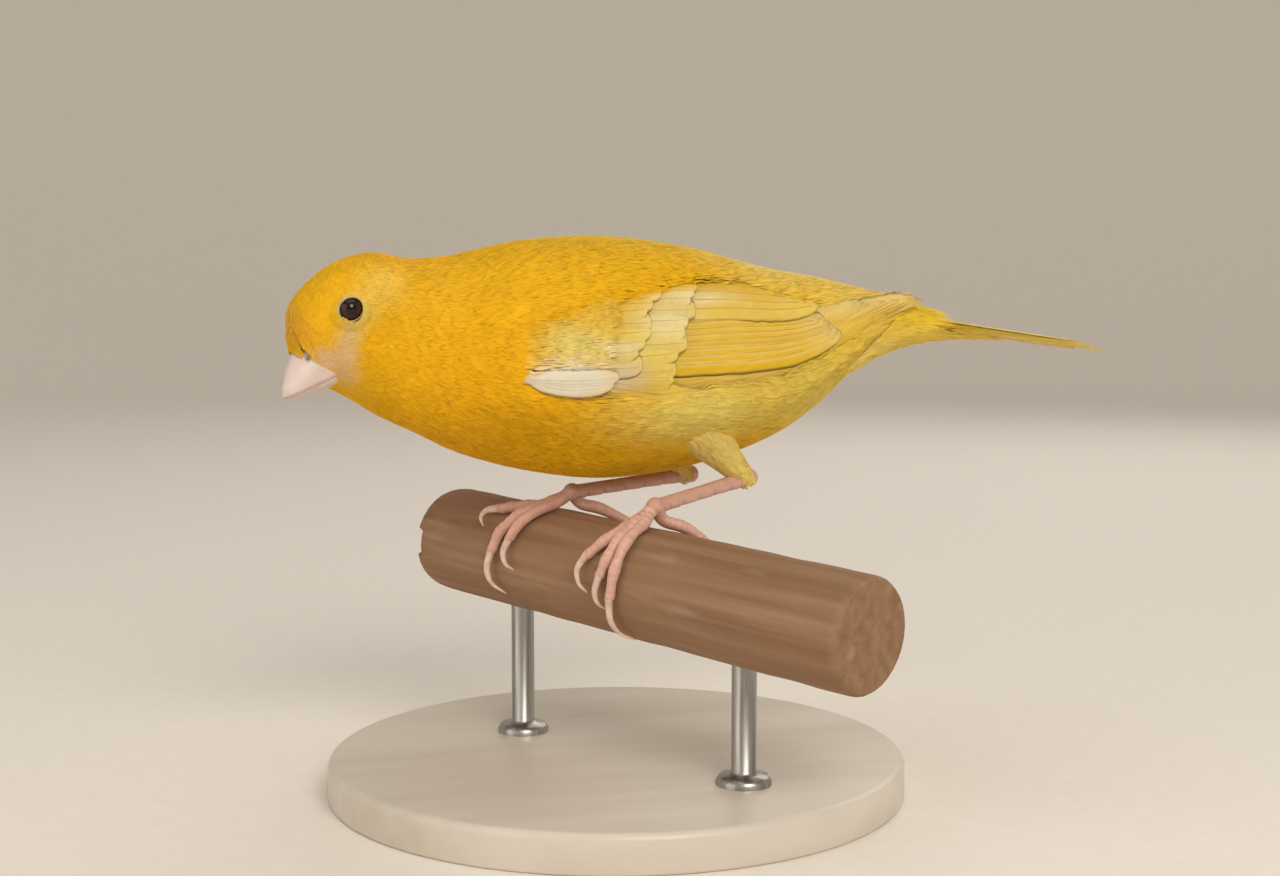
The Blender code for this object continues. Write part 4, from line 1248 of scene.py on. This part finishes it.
def make_head_coat(material):
    """The head's small close feathers, which part round the eyes and stop at the bill."""
    for index, (name, span, spacing, strands) in enumerate(HEAD_BANDS):
        chance = np.random.default_rng(SEED + 20 + index)
        flock = Flock()
        roots = scatter(BODY, span, ALL_ROUND, spacing, chance)
        roots = roots[~in_bill(BODY.place(*roots.T), -0.45)]
        length = feather_lengths(roots, chance)
        roots, length, drift = part_round_eyes(roots, length, chance.normal(0, 4, len(roots)))
        lift = (root_lift(roots[:, 0]), 0.08)
        tufts(
            flock, BODY, roots, chance, length, length * 0.3, strands, 0.12, lift, drift=drift, stray=0.025,
        )
        if name == "coat_face":
            lay_eye_rings(flock, chance)
            roots = scatter(BROW, (-0.25, 0.6), (46.0, 134.0), 0.3, chance)
            reach = 1.1 - 0.7 * (np.abs(roots[:, 1] - 90.0) / 44.0) ** 2
            tufts(flock, BROW, roots, chance, reach, 0.32, 6, 0.08, (-0.1, 0.12), toward=1.0, stray=0.02)
        flock.piece(name, material, "yellow_plumage")


# Rings of tiny feathers round an eye: their radius and how many there are
EYE_RINGS = ((1.92, 46), (2.1, 48), (2.4, 50))


def lay_eye_rings(flock, chance):
    """Rows of very small feathers round each eye, lying away from it."""
    for side, (_, _, seat) in EYES.items():
        angles = np.arange(-60.0, 90.0, 1.0)
        angles = angles if side == "left" else 180.0 - angles
        places = np.meshgrid(np.arange(8.5, 11.0, 0.02), angles, indexing="ij")
        station, angle = nearest(norm(BODY.place(*places) - seat), *places)
        scale_a, scale_b = BODY.scales(np.array([station]), np.array([angle]), 0.0)
        for radius, count in EYE_RINGS:
            turn = np.linspace(0, 2 * np.pi, count, endpoint=False) + chance.uniform(-0.05, 0.05, count)
            cos, sin = np.cos(turn), np.sin(turn)
            roots = joined(station - radius * cos / scale_a, angle + radius * sin / scale_b)
            # Each lies away from the eye and is drawn back along the coat.
            drift = np.degrees(np.arctan2(sin, cos + 0.75))
            tufts(flock, BODY, roots, chance, 0.75, 0.24, 5, 0.06, (0.0, 0.2), drift=drift, stray=0.02)


def make_thigh_coat(material):
    """The feathers of both thighs, down to a loose edge over the ankle."""
    flock = Flock()
    chance = np.random.default_rng(SEED + 30)
    for side in LEGS:
        thigh = Thigh(side)
        roots = scatter(thigh, (0.0, 0.97), ALL_ROUND, 0.85, chance)
        length = 3.6 - 1.7 * roots[:, 0]
        tufts(
            flock, thigh, roots, chance, length, length * 0.28, 8, 0.13, (-0.5, 0.1), toward=1.0,
            colour=lambda flat: evenly(THIGH_YELLOW, flat), stray=0.04,
        )
    flock.piece("coat_thighs", material, "yellow_plumage")


# Wings and tail


# Each tier: the first feather and the last (root x, root angle, tip x, tip angle), how many there are,
# their width, their lift over the bed and how far the shaft's line bows.
WING_TIERS = (
    ("primaries", (-5, -15, 51, -3), (2, -3, 38, 19), 9, 4.4, 0.95, -1.5),
    ("secondaries", (0, -2, 35, -3), (5, 20, 29, 26), 9, 5.2, 1.18, 1.5),
    ("tertials", (5, 22, 31, 25), (3, 46, 21, 50), 6, 4.8, 1.42, 1),
    ("primary coverts", (-11, -10, 8, -16), (-8, -2, 4, -3), 7, 3.2, 1.6, -1),
    ("greater coverts", (-5, -3.5, 5.5, -3), (1, 46, 12, 47), 11, 4.2, 1.56, -0.6),
    ("median coverts", (-9, -2.5, 0, -1.5), (-5, 46, 4.5, 47), 12, 3.8, 1.78, -0.6),
    ("alula", (-17, -8.2, -4.2, -7.8), (-17.4, -7.8, -3.4, -6), 4, 2.6, 2.75, -2.8),
)
# How far the folded primaries' tips reach on in the middle of their row, and how unevenly tips lie
PRIMARY_REACH = 3.0
FLIGHT_JITTER = (0.25, 0.3)
COVERT_JITTER = (0.55, 0.7)
# Rows of soft coverts: the first root and the last (x, angle), their length and half spread, how many
# strands each has, and the lift at root and tip
COVERT_ROWS = (
    ((-10.5, -1.5), (-7, 46), 6.5, 1.4, 18, (1.5, 2.05)),
    ((-12.5, -1.5), (-9, 46), 5.5, 1.3, 16, (1.6, 2.25)),
)
COVERTS_IN_ROW = 30


def make_wings(feather_material, coat_material):
    """Both folded wings: flight feathers and coverts as single vanes, and the lesser coverts as tufts."""
    chance = np.random.default_rng(SEED + 40)
    yellow, cream = tone(WING_YELLOW), tone(WING_CREAM)
    flock = Flock()
    for name, first, last, count, width, lift, bend in WING_TIERS:
        primary = name == "primaries"
        for k, values in enumerate(np.linspace(first, last, count)):
            share = k / (count - 1)
            if primary:
                values[2] += PRIMARY_REACH * math.sin(math.pi * min(share * 1.4, 1.0))
            values[2:] += chance.normal(0.0, COVERT_JITTER if "coverts" in name else FLIGHT_JITTER)
            tint = chance.uniform(0.92, 1.05)
            if name in ("primaries", "secondaries"):
                outer, inner, rim = yellow * 1.02, yellow * 0.6 + cream * 0.4, yellow * 0.4 + cream * 0.6
                field = None
            else:
                outer, inner, rim = (np.full(3, grey) for grey in (0.97, 1.0, 1.08))
                field = wing_colour
            lay_vane(
                flock, WING, values[:2], values[2:], width, lift + 0.06 * k / count, chance,
                (outer * tint, inner * tint, (outer + inner) * 0.46, rim * tint), tilt=0.15,
                bend=bend * (1.0 - share * 0.8) if name == "alula" else bend, camber=0.18, dip=0.14,
                outer=0.32 if primary else 0.42, point=0.62 if primary else 0.45, field=field,
            )
    flock.piece("flight_feathers_left", feather_material, "wing_plumage", "wing_left")
    flock.mirror().piece("flight_feathers_right", feather_material, "wing_plumage", "wing_right")

    # The softer coverts in their rows, then the lesser ones over the wing's bend
    small = Flock()
    for first, last, length, spread, strands, lift in COVERT_ROWS:
        roots = np.linspace(first, last, COVERTS_IN_ROW) + chance.normal(0, 0.25, (COVERTS_IN_ROW, 2))
        tufts(
            small, WING, roots, chance, length, spread, strands, 0.14, lift, toward=1.0, drift=-4.0,
            colour=wing_colour, stray=0.03, ragged=0.06, close=0.66,
        )
    roots = scatter(WING, (-18.6, -7.0), (-2.4, 52.0), 1.0, chance)
    tufts(
        small, WING, roots, chance, 3.8, 1.2, 10, 0.15, (1.5, 2.45), toward=1.0, colour=wing_colour,
        stray=0.04,
    )
    small.piece("coat_wing_left", coat_material, "yellow_plumage")
    small.mirror().piece("coat_wing_right", coat_material, "yellow_plumage")


# The tail feathers: where they start, how far apart they lie at root and tip, their width, and how much
# lower each pair lies than the one inside it
TAIL_ROOT_X = 49.0
TAIL_ROOT_GAP = 0.55
TAIL_TIP_GAP = 0.98
TAIL_FEATHER_WIDTH = 5.4
TAIL_STACK = 0.13


def make_tail(feather_material, coat_material):
    """Twelve tail feathers fanned a little, with soft coverts over and under their roots."""
    chance = np.random.default_rng(SEED + 50)
    flock = Flock()
    for k in reversed(range(TAIL_FEATHER_PAIRS)):
        for sign in (-1.0, 1.0):
            root = (TAIL_ROOT_X, sign * TAIL_ROOT_GAP * (k + 0.55))
            tip = (TAIL_TIP_X + 0.5 * k, sign * TAIL_TIP_GAP * (k + 0.55))
            lift = 0.4 - TAIL_STACK * k + (0.06 if sign > 0 else 0.0)
            base = tone((244, 206, 70)) * chance.uniform(0.94, 1.04)
            webs = (base * 0.6 + tone(WING_YELLOW) * 0.4, base * 0.72 + tone(WING_CREAM) * 0.28)
            paints = (*(webs if sign < 0 else webs[::-1]), base * 0.9, base)
            lay_vane(
                flock, TAIL, root, tip, TAIL_FEATHER_WIDTH, lift, chance, paints,
                outer=0.38 if sign < 0 else 0.62, camber=0.12, sunk=0.0, point=0.4,
            )
    flock.piece("tail_feathers", feather_material, "wing_plumage", "tail")

    cover = Flock()
    roots = scatter(VENT, (31.0, 60.0), ALL_ROUND, 1.1, chance)
    upper = np.sin(np.radians(roots[:, 1])) > -0.4
    roots = roots[~(upper & (roots[:, 0] > 50.0))]
    reach = np.interp(roots[:, 0], (31.0, 44.0, 60.0), (6.0, 8.0, 10.0))
    high = np.interp(roots[:, 0], (31.0, 39.0, 60.0), (-0.7, 0.15, 0.1))
    tufts(
        cover, VENT, roots, chance, reach, 1.5, 12, 0.16, (high - 0.8, high), toward=1.0,
        colour=covert_colour, stray=0.04,
    )
    cover.piece("coat_tail_coverts", coat_material, "yellow_plumage")


# Head


BILL_ROOT = BILL[0][0]
# Where the bill's grid begins, inside the face
BILL_FROM = 3.2


def bill_lines(forward):
    """Culmen, mouth line, underside and half width of the bill."""
    return curve_parts(BILL, np.maximum(forward, BILL_ROOT))


def bill_part(upper, u, v):
    """Points of the upper or lower bill, u along it and v round it."""
    forward = BILL_FROM + (BILL[-1][0] - BILL_FROM) * u
    culmen, mouth, under, half = bill_lines(forward)
    turn = 2 * np.pi * v
    close = 0.12 + 0.88 * np.sqrt(held((1.0 - u) / 0.07))
    round_up, round_side = (full(wave, BILL_FULLNESS) * close for wave in (np.sin(turn), np.cos(turn)))
    if upper:
        # The cutting edge hangs a little over the lower bill.
        up = mouth + 0.03 + round_up * np.where(round_up > 0, culmen - mouth, 0.4)
        up = up - 0.22 * np.abs(round_side) ** 6
        side = half * round_side * (1.0 - 0.12 * held(round_up) ** 2)
    else:
        up = mouth - 0.12 + round_up * np.where(round_up < 0, mouth - under, 0.12)
        side = (half - 0.42) * round_side
    # The base narrows back into the face.
    sink = held((BILL_ROOT + 0.8 - forward) / 2.8)
    return forward, side * (1 - 0.35 * sink), up + (mouth + 1.4 - up) * 0.3 * sink


def from_nostril(forward, side, up, stretch):
    """How far places are from the left nostril, which is stretched along the bill."""
    nostril, left, high = NOSTRIL
    return np.sqrt(((forward - nostril) / stretch) ** 2 + (up - high) ** 2 + (side - left) ** 2)


# The bill's colours: white, rose, ridge and tip are the horn's own; the gleam is a painted highlight, and
# the mouth edge and nostril colours are painted shade
HORN_WHITE = (224, 205, 197)
HORN_ROSE = (222, 184, 170)
HORN_PAINTED_HIGHLIGHT = (244, 234, 230)
HORN_RIDGE = (196, 172, 166)
HORN_TIP = (214, 196, 186)
MOUTH_LINE_PAINTED_SHADE = (150, 92, 80)
NOSTRIL_PAINTED_SHADE = (84, 48, 40)


def bill_colour(upper, u, v):
    """Pinkish white horn, rosier at the base and greyer along the ridge, with a painted highlight along the
    upper bill's side and painted shade along the mouth line and in the nostrils.
    """
    forward, side, up = bill_part(upper, u, v)
    culmen, mouth, _, _ = bill_lines(forward)
    layers = [(HORN_ROSE, held(1.0 - (forward - 5.0) / 5.0) * 0.55)]
    if upper:
        layers += [
            # A painted highlight along the middle of the upper bill's side
            (HORN_PAINTED_HIGHLIGHT, np.exp(-((up - culmen * 0.5 - mouth * 0.5) / 0.9) ** 2) * 0.5),
            (HORN_RIDGE, np.exp(-(side / 0.8) ** 2) * 0.35),
            # Painted shade in the nostrils' hollows
            (NOSTRIL_PAINTED_SHADE, held(1.0 - from_nostril(forward, np.abs(side), up, 1.3) / 0.52) ** 0.5 * 0.9),
        ]
    layers += [
        # Painted shade along the mouth line, in the seam where the upper bill overhangs the lower
        (MOUTH_LINE_PAINTED_SHADE, np.exp(-((up - mouth + 0.1) / 0.16) ** 2) * 0.55),
        (HORN_TIP, held((forward - 14.4) / 2.0) * 0.4),
    ]
    colour = tone(HORN_WHITE)
    for other, share in layers:
        colour = blend(colour, other, share)
    return colour


def make_bill(material):
    for part in ("upper", "lower"):
        upper = part == "upper"

        def place(u, v):
            forward, side, up = bill_part(upper, u, v)
            point = head_point(forward, side, up)
            middle = head_point(forward, 0.0, up.mean())
            for sign in (1.0, -1.0) if upper else ():
                dent = held(1.0 - from_nostril(forward, sign * side, up, 1.35) / 0.62) ** 0.6 * 0.75
                point = point + unit(head_point(forward, 0.0, NOSTRIL[2] - 0.6) - point) * dent[..., None]
            # Fine growth lines that follow the edge
            lines = 0.018 * np.sin(forward * 5.0 + np.abs(side) * 1.7)
            return point + unit(point - middle) * lines[..., None]

        bm, u, v = wrapped(place, 90, 88)
        piece = finish_piece(f"bill_{part}_fine", bm, material, "bill_horn", f"bill_{part}")
        paint(piece.data, "Horn", bill_colour(upper, u, v))


# The eyelids' rim: where round its section, the radius round the eye and the height over its middle
LID_SECTION = (
    (0, 1.68, 0.98), (1, 1.7, 1.12), (2, 1.77, 1.22), (3, 1.87, 1.2), (4, 1.98, 1.06), (5, 2.12, 0.76),
    (6, 2.22, 0.3), (7, 2.1, -0.2), (8, 1.9, 0.1), (9, 1.68, 0.6), (10, 1.68, 0.98),
)
IRIS_RADIUS = 1.7


def make_eyes(eyeball_finish, lid_finish):
    """Glossy eyeballs, each in a beaded rim of bare skin."""
    forward = unit(head_point(1.0, 0.0, 0.0) - head_point(0.0, 0.0, 0.0))
    for side, (centre, look, _) in EYES.items():
        bm = ball(EYE_RADIUS, 56, 40)
        turn = Vector((0, 0, 1)).rotation_difference(Vector(look)).to_matrix().to_4x4()
        bmesh.ops.transform(bm, matrix=turn, verts=bm.verts)
        off = np.array([v.co[:] for v in bm.verts])
        ahead = off @ look
        rings = norm(off - ahead[:, None] * look) / IRIS_RADIUS
        rings = np.where(ahead > 0, np.minimum(rings, 1.0), 1.0)
        # The cornea stands out a little in the middle.
        for vert, grow in zip(bm.verts, 0.12 * held(1.0 - rings**2)):
            vert.co += Vector(look) * grow
        bmesh.ops.translate(bm, vec=Vector(centre), verts=bm.verts)
        piece = finish_piece(f"eyeball_{side}", bm, eyeball_finish, "dark_eye", f"eye_{side}")
        paint(piece.data, "Iris", np.repeat(rings[:, None], 3, axis=1))

        ahead_axis = unit(forward - look * (forward @ look))
        up_axis = np.cross(look, ahead_axis)

        def place(u, v):
            stop = v * LID_SECTION[-1][0]
            radius, height = curve_parts(LID_SECTION, stop)
            turn = 2 * np.pi * u
            beads = 0.045 * np.sin(turn * 26.0) * np.exp(-((stop - 2.0) ** 2) / 1.2)
            folds = 0.03 * np.sin(turn * 13.0 + 6.0 * v) * np.exp(-((stop - 4.0) ** 2) / 2.0)
            radius = radius * (1 + 0.05 * np.cos(2 * turn))
            ring = ahead_axis * np.cos(turn)[:, None] + up_axis * np.sin(turn)[:, None]
            return centre + ring * radius[:, None] + look * (height + beads + folds)[:, None]

        finish_piece(f"eyelids_{side}", wrapped(place, 156, 30)[0], lid_finish, "scaled_skin")


# Legs


def perch_axes():
    """Unit vectors along the perch to its near end, to its crest, and to the side that the bird faces."""
    cos, turn = math.cos(PERCH_DIP), PERCH_PLAN_ANGLE
    along = np.array((math.cos(turn) * cos, -math.sin(turn) * cos, -math.sin(PERCH_DIP)))
    front = unit(np.cross(along, (0, 0, 1)))
    front = front if front[0] < 0 else -front
    crest = unit(np.cross(front, along))
    return along, crest if crest[2] > 0 else -crest, front


ALONG, CREST, FRONT = perch_axes()


def on_perch(station, angle, radius):
    turn = np.radians(angle)[..., None]
    out = (CREST * np.cos(turn) + FRONT * np.sin(turn)) * np.asarray(radius)[..., None]
    return PERCH_AT + ALONG * np.asarray(station)[..., None] + out


def curve_line(points, steps):
    """Even points on a smooth curve through points."""
    rows = [(i, *p) for i, p in enumerate(points)]
    return curve_at(rows, np.linspace(0, len(points) - 1, steps + 1))


SCUTE_PALE = (228, 184, 166)
SCUTE_DEEP = (172, 120, 104)
SOLE_RADIUS = 1.46


def paint_scutes(piece, darker):
    """The legs' pink, deeper where darker says so for each vertex."""
    paint(piece.data, "Scutes", blend(tone(SCUTE_PALE), SCUTE_DEEP, held(darker)))


def shank_plates(u, turn):
    """How far into a plate a place is, and whether it is on the shank's front."""
    return (u * SHANK_PLATES) % 1.0, held(-np.sin(turn) * 2.0 + 0.4)


def toe_plates(u, turn):
    """How far into a plate a place is, and whether it is on the toe's top."""
    return (u * TOE_PLATES) % 1.0, held(np.sin(turn) * 2.0 + 0.3)


def shank_radius(u, turn):
    step, front = shank_plates(u, turn)
    ridge = 0.07 * front * (1 - step) - 0.05 * front * (step > 0.88)
    return curve_at(SHANK_RADII, u)[:, 0] * (1 + ridge + 0.015 * np.sin(turn * 9) * np.sin(u * 120))


def claw_radius(u, turn):
    radius = CLAW_ROOT_RADIUS * (1 - 0.86 * u**1.5) * np.clip((1 - u) / 0.03, 0.25, 1)
    groove = 1 - 0.12 * held(-np.sin(turn)) ** 3
    return radius * groove * (1 + 0.16 * np.abs(np.sin(turn)))


def make_toe(side, toe, foot, scutes, horn):
    """One toe with plates above and pads below, and its curved claw."""
    places = TOES[side][toe]
    root, knuckles = TOE_RADII[toe], TOE_KNUCKLES[toe]
    station = float((foot - PERCH_AT) @ ALONG)

    def over_foot(stops, rises):
        return [
            on_perch(station + along, angle, PERCH_RADIUS + TOE_LIFT + rise)
            for (along, angle), rise in zip(stops, rises)
        ]

    path = [foot, *over_foot(places[:TOE_POINTS], np.linspace(root, TOE_END_RADIUS, TOE_POINTS))]
    away = unit(np.mean(path[1:], axis=0) - PERCH_AT)

    def toe_radius(u, turn):
        knuckle = 0.1 * np.cos(2 * np.pi * u * knuckles)
        step, top = toe_plates(u, turn)
        pad = 0.14 * held(-np.sin(turn)) * np.cos(2 * np.pi * (u * knuckles + 0.5))
        close = 0.55 + 0.45 * held((1 - u) / 0.06) ** 0.5
        radius = root + (TOE_END_RADIUS - root) * u
        return radius * (1 + knuckle - 0.03 + top * 0.07 * (1 - step) + pad) * close

    bm, u, v = swept(curve_line(path, 24), toe_radius, 90, 28, away)
    step, top = toe_plates(u, 2 * np.pi * v)
    replaced = (f"foot_{side}",) if toe == "middle" else ()
    piece = finish_piece(f"toe_{side}_{toe}", bm, scutes, "scaled_skin", *replaced)
    paint_scutes(piece, 0.15 + 0.5 * top * eased(step, 0.74, 0.94) + 0.25 * (1 - top))

    path = over_foot(places[TOE_POINTS - 1:], CLAW_RISE)
    path.insert(0, path[0] - unit(path[1] - path[0]) * 0.5)
    bm = swept(curve_line(path, 16), claw_radius, 48, 20, away)[0]
    finish_piece(f"claw_{side}_{toe}_fine", bm, horn, "claw_horn", f"claw_{side}_{toe}")


def make_legs(scutes, horn):
    """Bare shanks with plates down the front, and feet that grip the perch."""
    for side, joints in LEGS.items():
        ankle, foot = (np.array(joints[k]) + BODY_AT for k in ("ankle", "foot"))
        shin = unit(foot - ankle)
        line = [ankle - shin * 2.2, ankle - shin * 0.4]
        line += [ankle + (foot - ankle) * share for share in (0.14, 0.5, 0.86, 1.0)]
        bm, u, v = swept(line, shank_radius, 120, 36)
        step, front = shank_plates(u, 2 * np.pi * v)
        piece = finish_piece(f"scuted_shank_{side}", bm, scutes, "scaled_skin", f"shank_{side}")
        paint_scutes(piece, 0.2 + 0.4 * front * eased(step, 0.8, 0.95) + 0.2 * (1 - front))
        for toe in TOES[side]:
            make_toe(side, toe, foot, scutes, horn)
        bm = ball(SOLE_RADIUS, 28, 20)
        bmesh.ops.translate(bm, vec=Vector(foot), verts=bm.verts)
        piece = finish_piece(f"sole_{side}", bm, scutes, "scaled_skin")
        paint_scutes(piece, np.full(len(piece.data.vertices), 0.35))


# The perch, its stand and the room


# The perch's rounded ends: share of its length, and how much less than its radius
PERCH_ENDS = (
    (0, 2), (0.006, 1.2), (0.016, 0.45), (0.032, 0.06), (0.06, 0), (0.985, 0), (0.994, 0.14), (1, 0.55),
)


def make_perch(material):
    """The worn perch, with its sawn end, the notch across its far end and a faintly uneven surface."""
    chance = np.random.default_rng(SEED + 60)
    phases = chance.uniform(0, 2 * np.pi, 12)
    length = PERCH_NEAR - PERCH_FAR

    def place(u, v):
        # More rings near both ends, where the profile turns
        wave = 2 * np.pi * u
        u = held(u + (0.055 * np.sin(2 * wave) - 0.1 * np.sin(wave)) / (2 * np.pi))
        turn = 2 * np.pi * v
        radius = PERCH_RADIUS - curve_at(PERCH_ENDS, u)[:, 0]
        waves = sum(0.02 * np.sin(u * length * 0.12 * (1 + k) + phases[k] + k * turn) for k in range(1, 6))
        grain = 0.018 * np.sin(turn * 31 + 2.0 * np.sin(u * 9 + phases[6]))
        radius = radius + (waves + grain) * held(radius / PERCH_RADIUS)
        return on_perch(PERCH_FAR + length * u, 360.0 * v, radius)

    bm = wrapped(place, 130, 128)[0]
    end = PERCH_AT + ALONG * PERCH_FAR
    # The notch is pressed in: the end's points inside it move back to its floor.
    for vert in bm.verts:
        off = np.array(vert.co) - end
        if off @ ALONG < NOTCH_DEPTH and abs(off @ CREST) < NOTCH_WIDTH / 2:
            vert.co += Vector(ALONG * (NOTCH_DEPTH - off @ ALONG))
    for face in [f for f in bm.faces if len(f.verts) > 4]:
        bmesh.ops.inset_region(bm, faces=[face], thickness=0.6, depth=0.0)
    finish_piece("worn_perch", bm, material, "perch_wood", "perch")


# The base's rounded rims: whether it is the upper one, its radius and its segments
BASE_ROUNDING = ((True, 1.2, 6), (False, 0.5, 3))
# How far the rods go into the base, and how far below the perch's middle they end
ROD_SEAT = 0.2
ROD_TOP_BELOW = 3.0


def make_stand(lacquer, steel):
    bm = bmesh.new()
    bmesh.ops.create_cone(
        bm, cap_ends=True, segments=160, radius1=BASE_RADIUS, radius2=BASE_RADIUS, depth=BASE_HEIGHT
    )
    bmesh.ops.translate(bm, vec=(0, 0, BASE_HEIGHT / 2), verts=bm.verts)
    rims = [e for e in bm.edges if len({round(v.co.z, 3) for v in e.verts}) == 1]
    for upper, offset, segments in BASE_ROUNDING:
        rim = [e for e in rims if e.is_valid and (e.verts[0].co.z > BASE_HEIGHT / 2) == upper]
        bmesh.ops.bevel(
            bm, geom=rim, offset=offset, offset_type="OFFSET", segments=segments, profile=0.5,
            affect="EDGES", material=-1,
        )
    finish_piece("lacquered_base", bm, lacquer, "lacquered_base", "stand_base")

    floor = BASE_HEIGHT - ROD_SEAT
    collar = floor + COLLAR_HEIGHT
    for name, station in ROD_STATIONS.items():
        at = PERCH_AT + ALONG * station
        top = at[2] - ROD_TOP_BELOW
        bm = turned_profile((
            (0.0, floor), (COLLAR_RADIUS, floor), (COLLAR_RADIUS, floor + COLLAR_HEIGHT * 0.55),
            (COLLAR_RADIUS - 0.5, collar), (ROD_RADIUS + 0.5, collar + 0.15), (ROD_RADIUS, collar + 0.7),
            (ROD_RADIUS, top), (0.0, top),
        ), 64, 1e-4)
        bmesh.ops.translate(bm, vec=(at[0], at[1], 0), verts=bm.verts)
        finish_piece(f"steel_rod_{name}", bm, steel, "stand_steel", f"stand_rod_{name}")


# The room: its floor's radius, the radius of the curve up into the backdrop, and its height
FLOOR_RADIUS = 1100.0
COVE_RADIUS = 600.0
COVE_STEPS = 24
ROOM_HEIGHT = 1500.0


def make_room(material):
    """A plain pale floor that curves up all round into a backdrop, so that every side is a studio view."""
    profile = [(0.0, 0.0), (300.0, 0.0), (700.0, 0.0)]
    for turn in np.linspace(0.0, math.pi / 2, COVE_STEPS + 1):
        profile.append((FLOOR_RADIUS + COVE_RADIUS * math.sin(turn), COVE_RADIUS * (1.0 - math.cos(turn))))
    profile.append((FLOOR_RADIUS + COVE_RADIUS, ROOM_HEIGHT))
    bm = turned_profile(profile, 96, 1e-3)
    if sum(f.normal.z * f.calc_area() for f in bm.faces) < 0:
        bmesh.ops.reverse_faces(bm, faces=bm.faces)
    mesh = mesh_from("paper_bowl", bm)
    mesh.materials.append(material)
    room = put("paper_bowl", mesh)


# Lamps: name, where, what they aim at, width in metres, watts and colour
MIDDLE = (0, 0, 60)
LAMPS = (
    ("key", (60, -560, 420), MIDDLE, 0.34, 2.15, (1, 0.95, 0.88)),
    ("fill", (-620, -220, 260), MIDDLE, 0.6, 0.82, (1, 0.97, 0.94)),
    ("back", (420, 480, 520), MIDDLE, 0.6, 1.05, (1, 0.97, 0.94)),
    ("overhead", (0, 0, 2300), (0, 0, 0), 2.6, 11.2, (1, 0.98, 0.95)),
)


def make_lights():
    for name, at, target, size, watts, colour in LAMPS:
        data = bpy.data.lights.new(name, "AREA")
        data.shape = "DISK"
        data.size = size
        data.energy = watts
        data.color = colour
        light = put(name, data)
        light.location = Vector(at) * MM
        aim = Vector(target) * MM - light.location
        light.rotation_euler = aim.to_track_quat("-Z", "Y").to_euler()
    world = bpy.data.worlds.new("studio")
    world.use_nodes = True
    world.node_tree.nodes["Background"].inputs["Color"].default_value = (1.0, 0.97, 0.93, 1.0)
    world.node_tree.nodes["Background"].inputs["Strength"].default_value = 0.21
    bpy.context.scene.world = world


def make_camera():
    data = bpy.data.cameras.new("camera")
    data.sensor_width = 36.0
    data.lens = CAMERA_LENS
    data.clip_start = 0.01
    camera = put("camera", data)
    camera.location = Vector(CAMERA_AT) * MM
    camera.rotation_euler = (math.pi / 2 - CAMERA_DIP, 0.0, -CAMERA_YAW)
    bpy.context.scene.camera = camera
    bpy.context.scene.view_settings.view_transform = "Standard"


make_camera()
make_lights()
make_room(two_tone("warm studio paper", 0.9, (300.0, 4.0), (243, 236, 226), (246, 239, 229)))

plumage = plumage_material()
vanes = vane_material()
claw_horn = claw_material()
scutes = scute_material()
lid_skin = two_tone(
    "canary eyelid", 0.5, (2400.0, 3.0), (170, 150, 104), (214, 198, 146), 0.00008,
    subsurface_weight=0.15, subsurface_scale=0.0006,
)
lacquer = two_tone(
    "pale lacquered wood", 0.4, (90.0, 6.0, (0.12, 1.0, 1.0)), (206, 196, 180), (224, 216, 202), 0.00004,
    0.5, coat_weight=0.25, coat_roughness=0.25,
)
steel = two_tone(
    "brushed steel rod", 0.34, (1400.0, 2.0, (1.0, 1.0, 0.04)), (150, 149, 146), (196, 194, 190), 0.00002,
    0.4, metallic=1.0,
)

make_skin(plumage)
make_body_coat(plumage)
make_head_coat(plumage)
make_thigh_coat(plumage)
make_wings(vanes, plumage)
make_tail(vanes, plumage)
make_bill(bill_material())
make_eyes(eye_material(), lid_skin)
make_legs(scutes, claw_horn)
make_perch(wood_material())
make_stand(lacquer, steel)
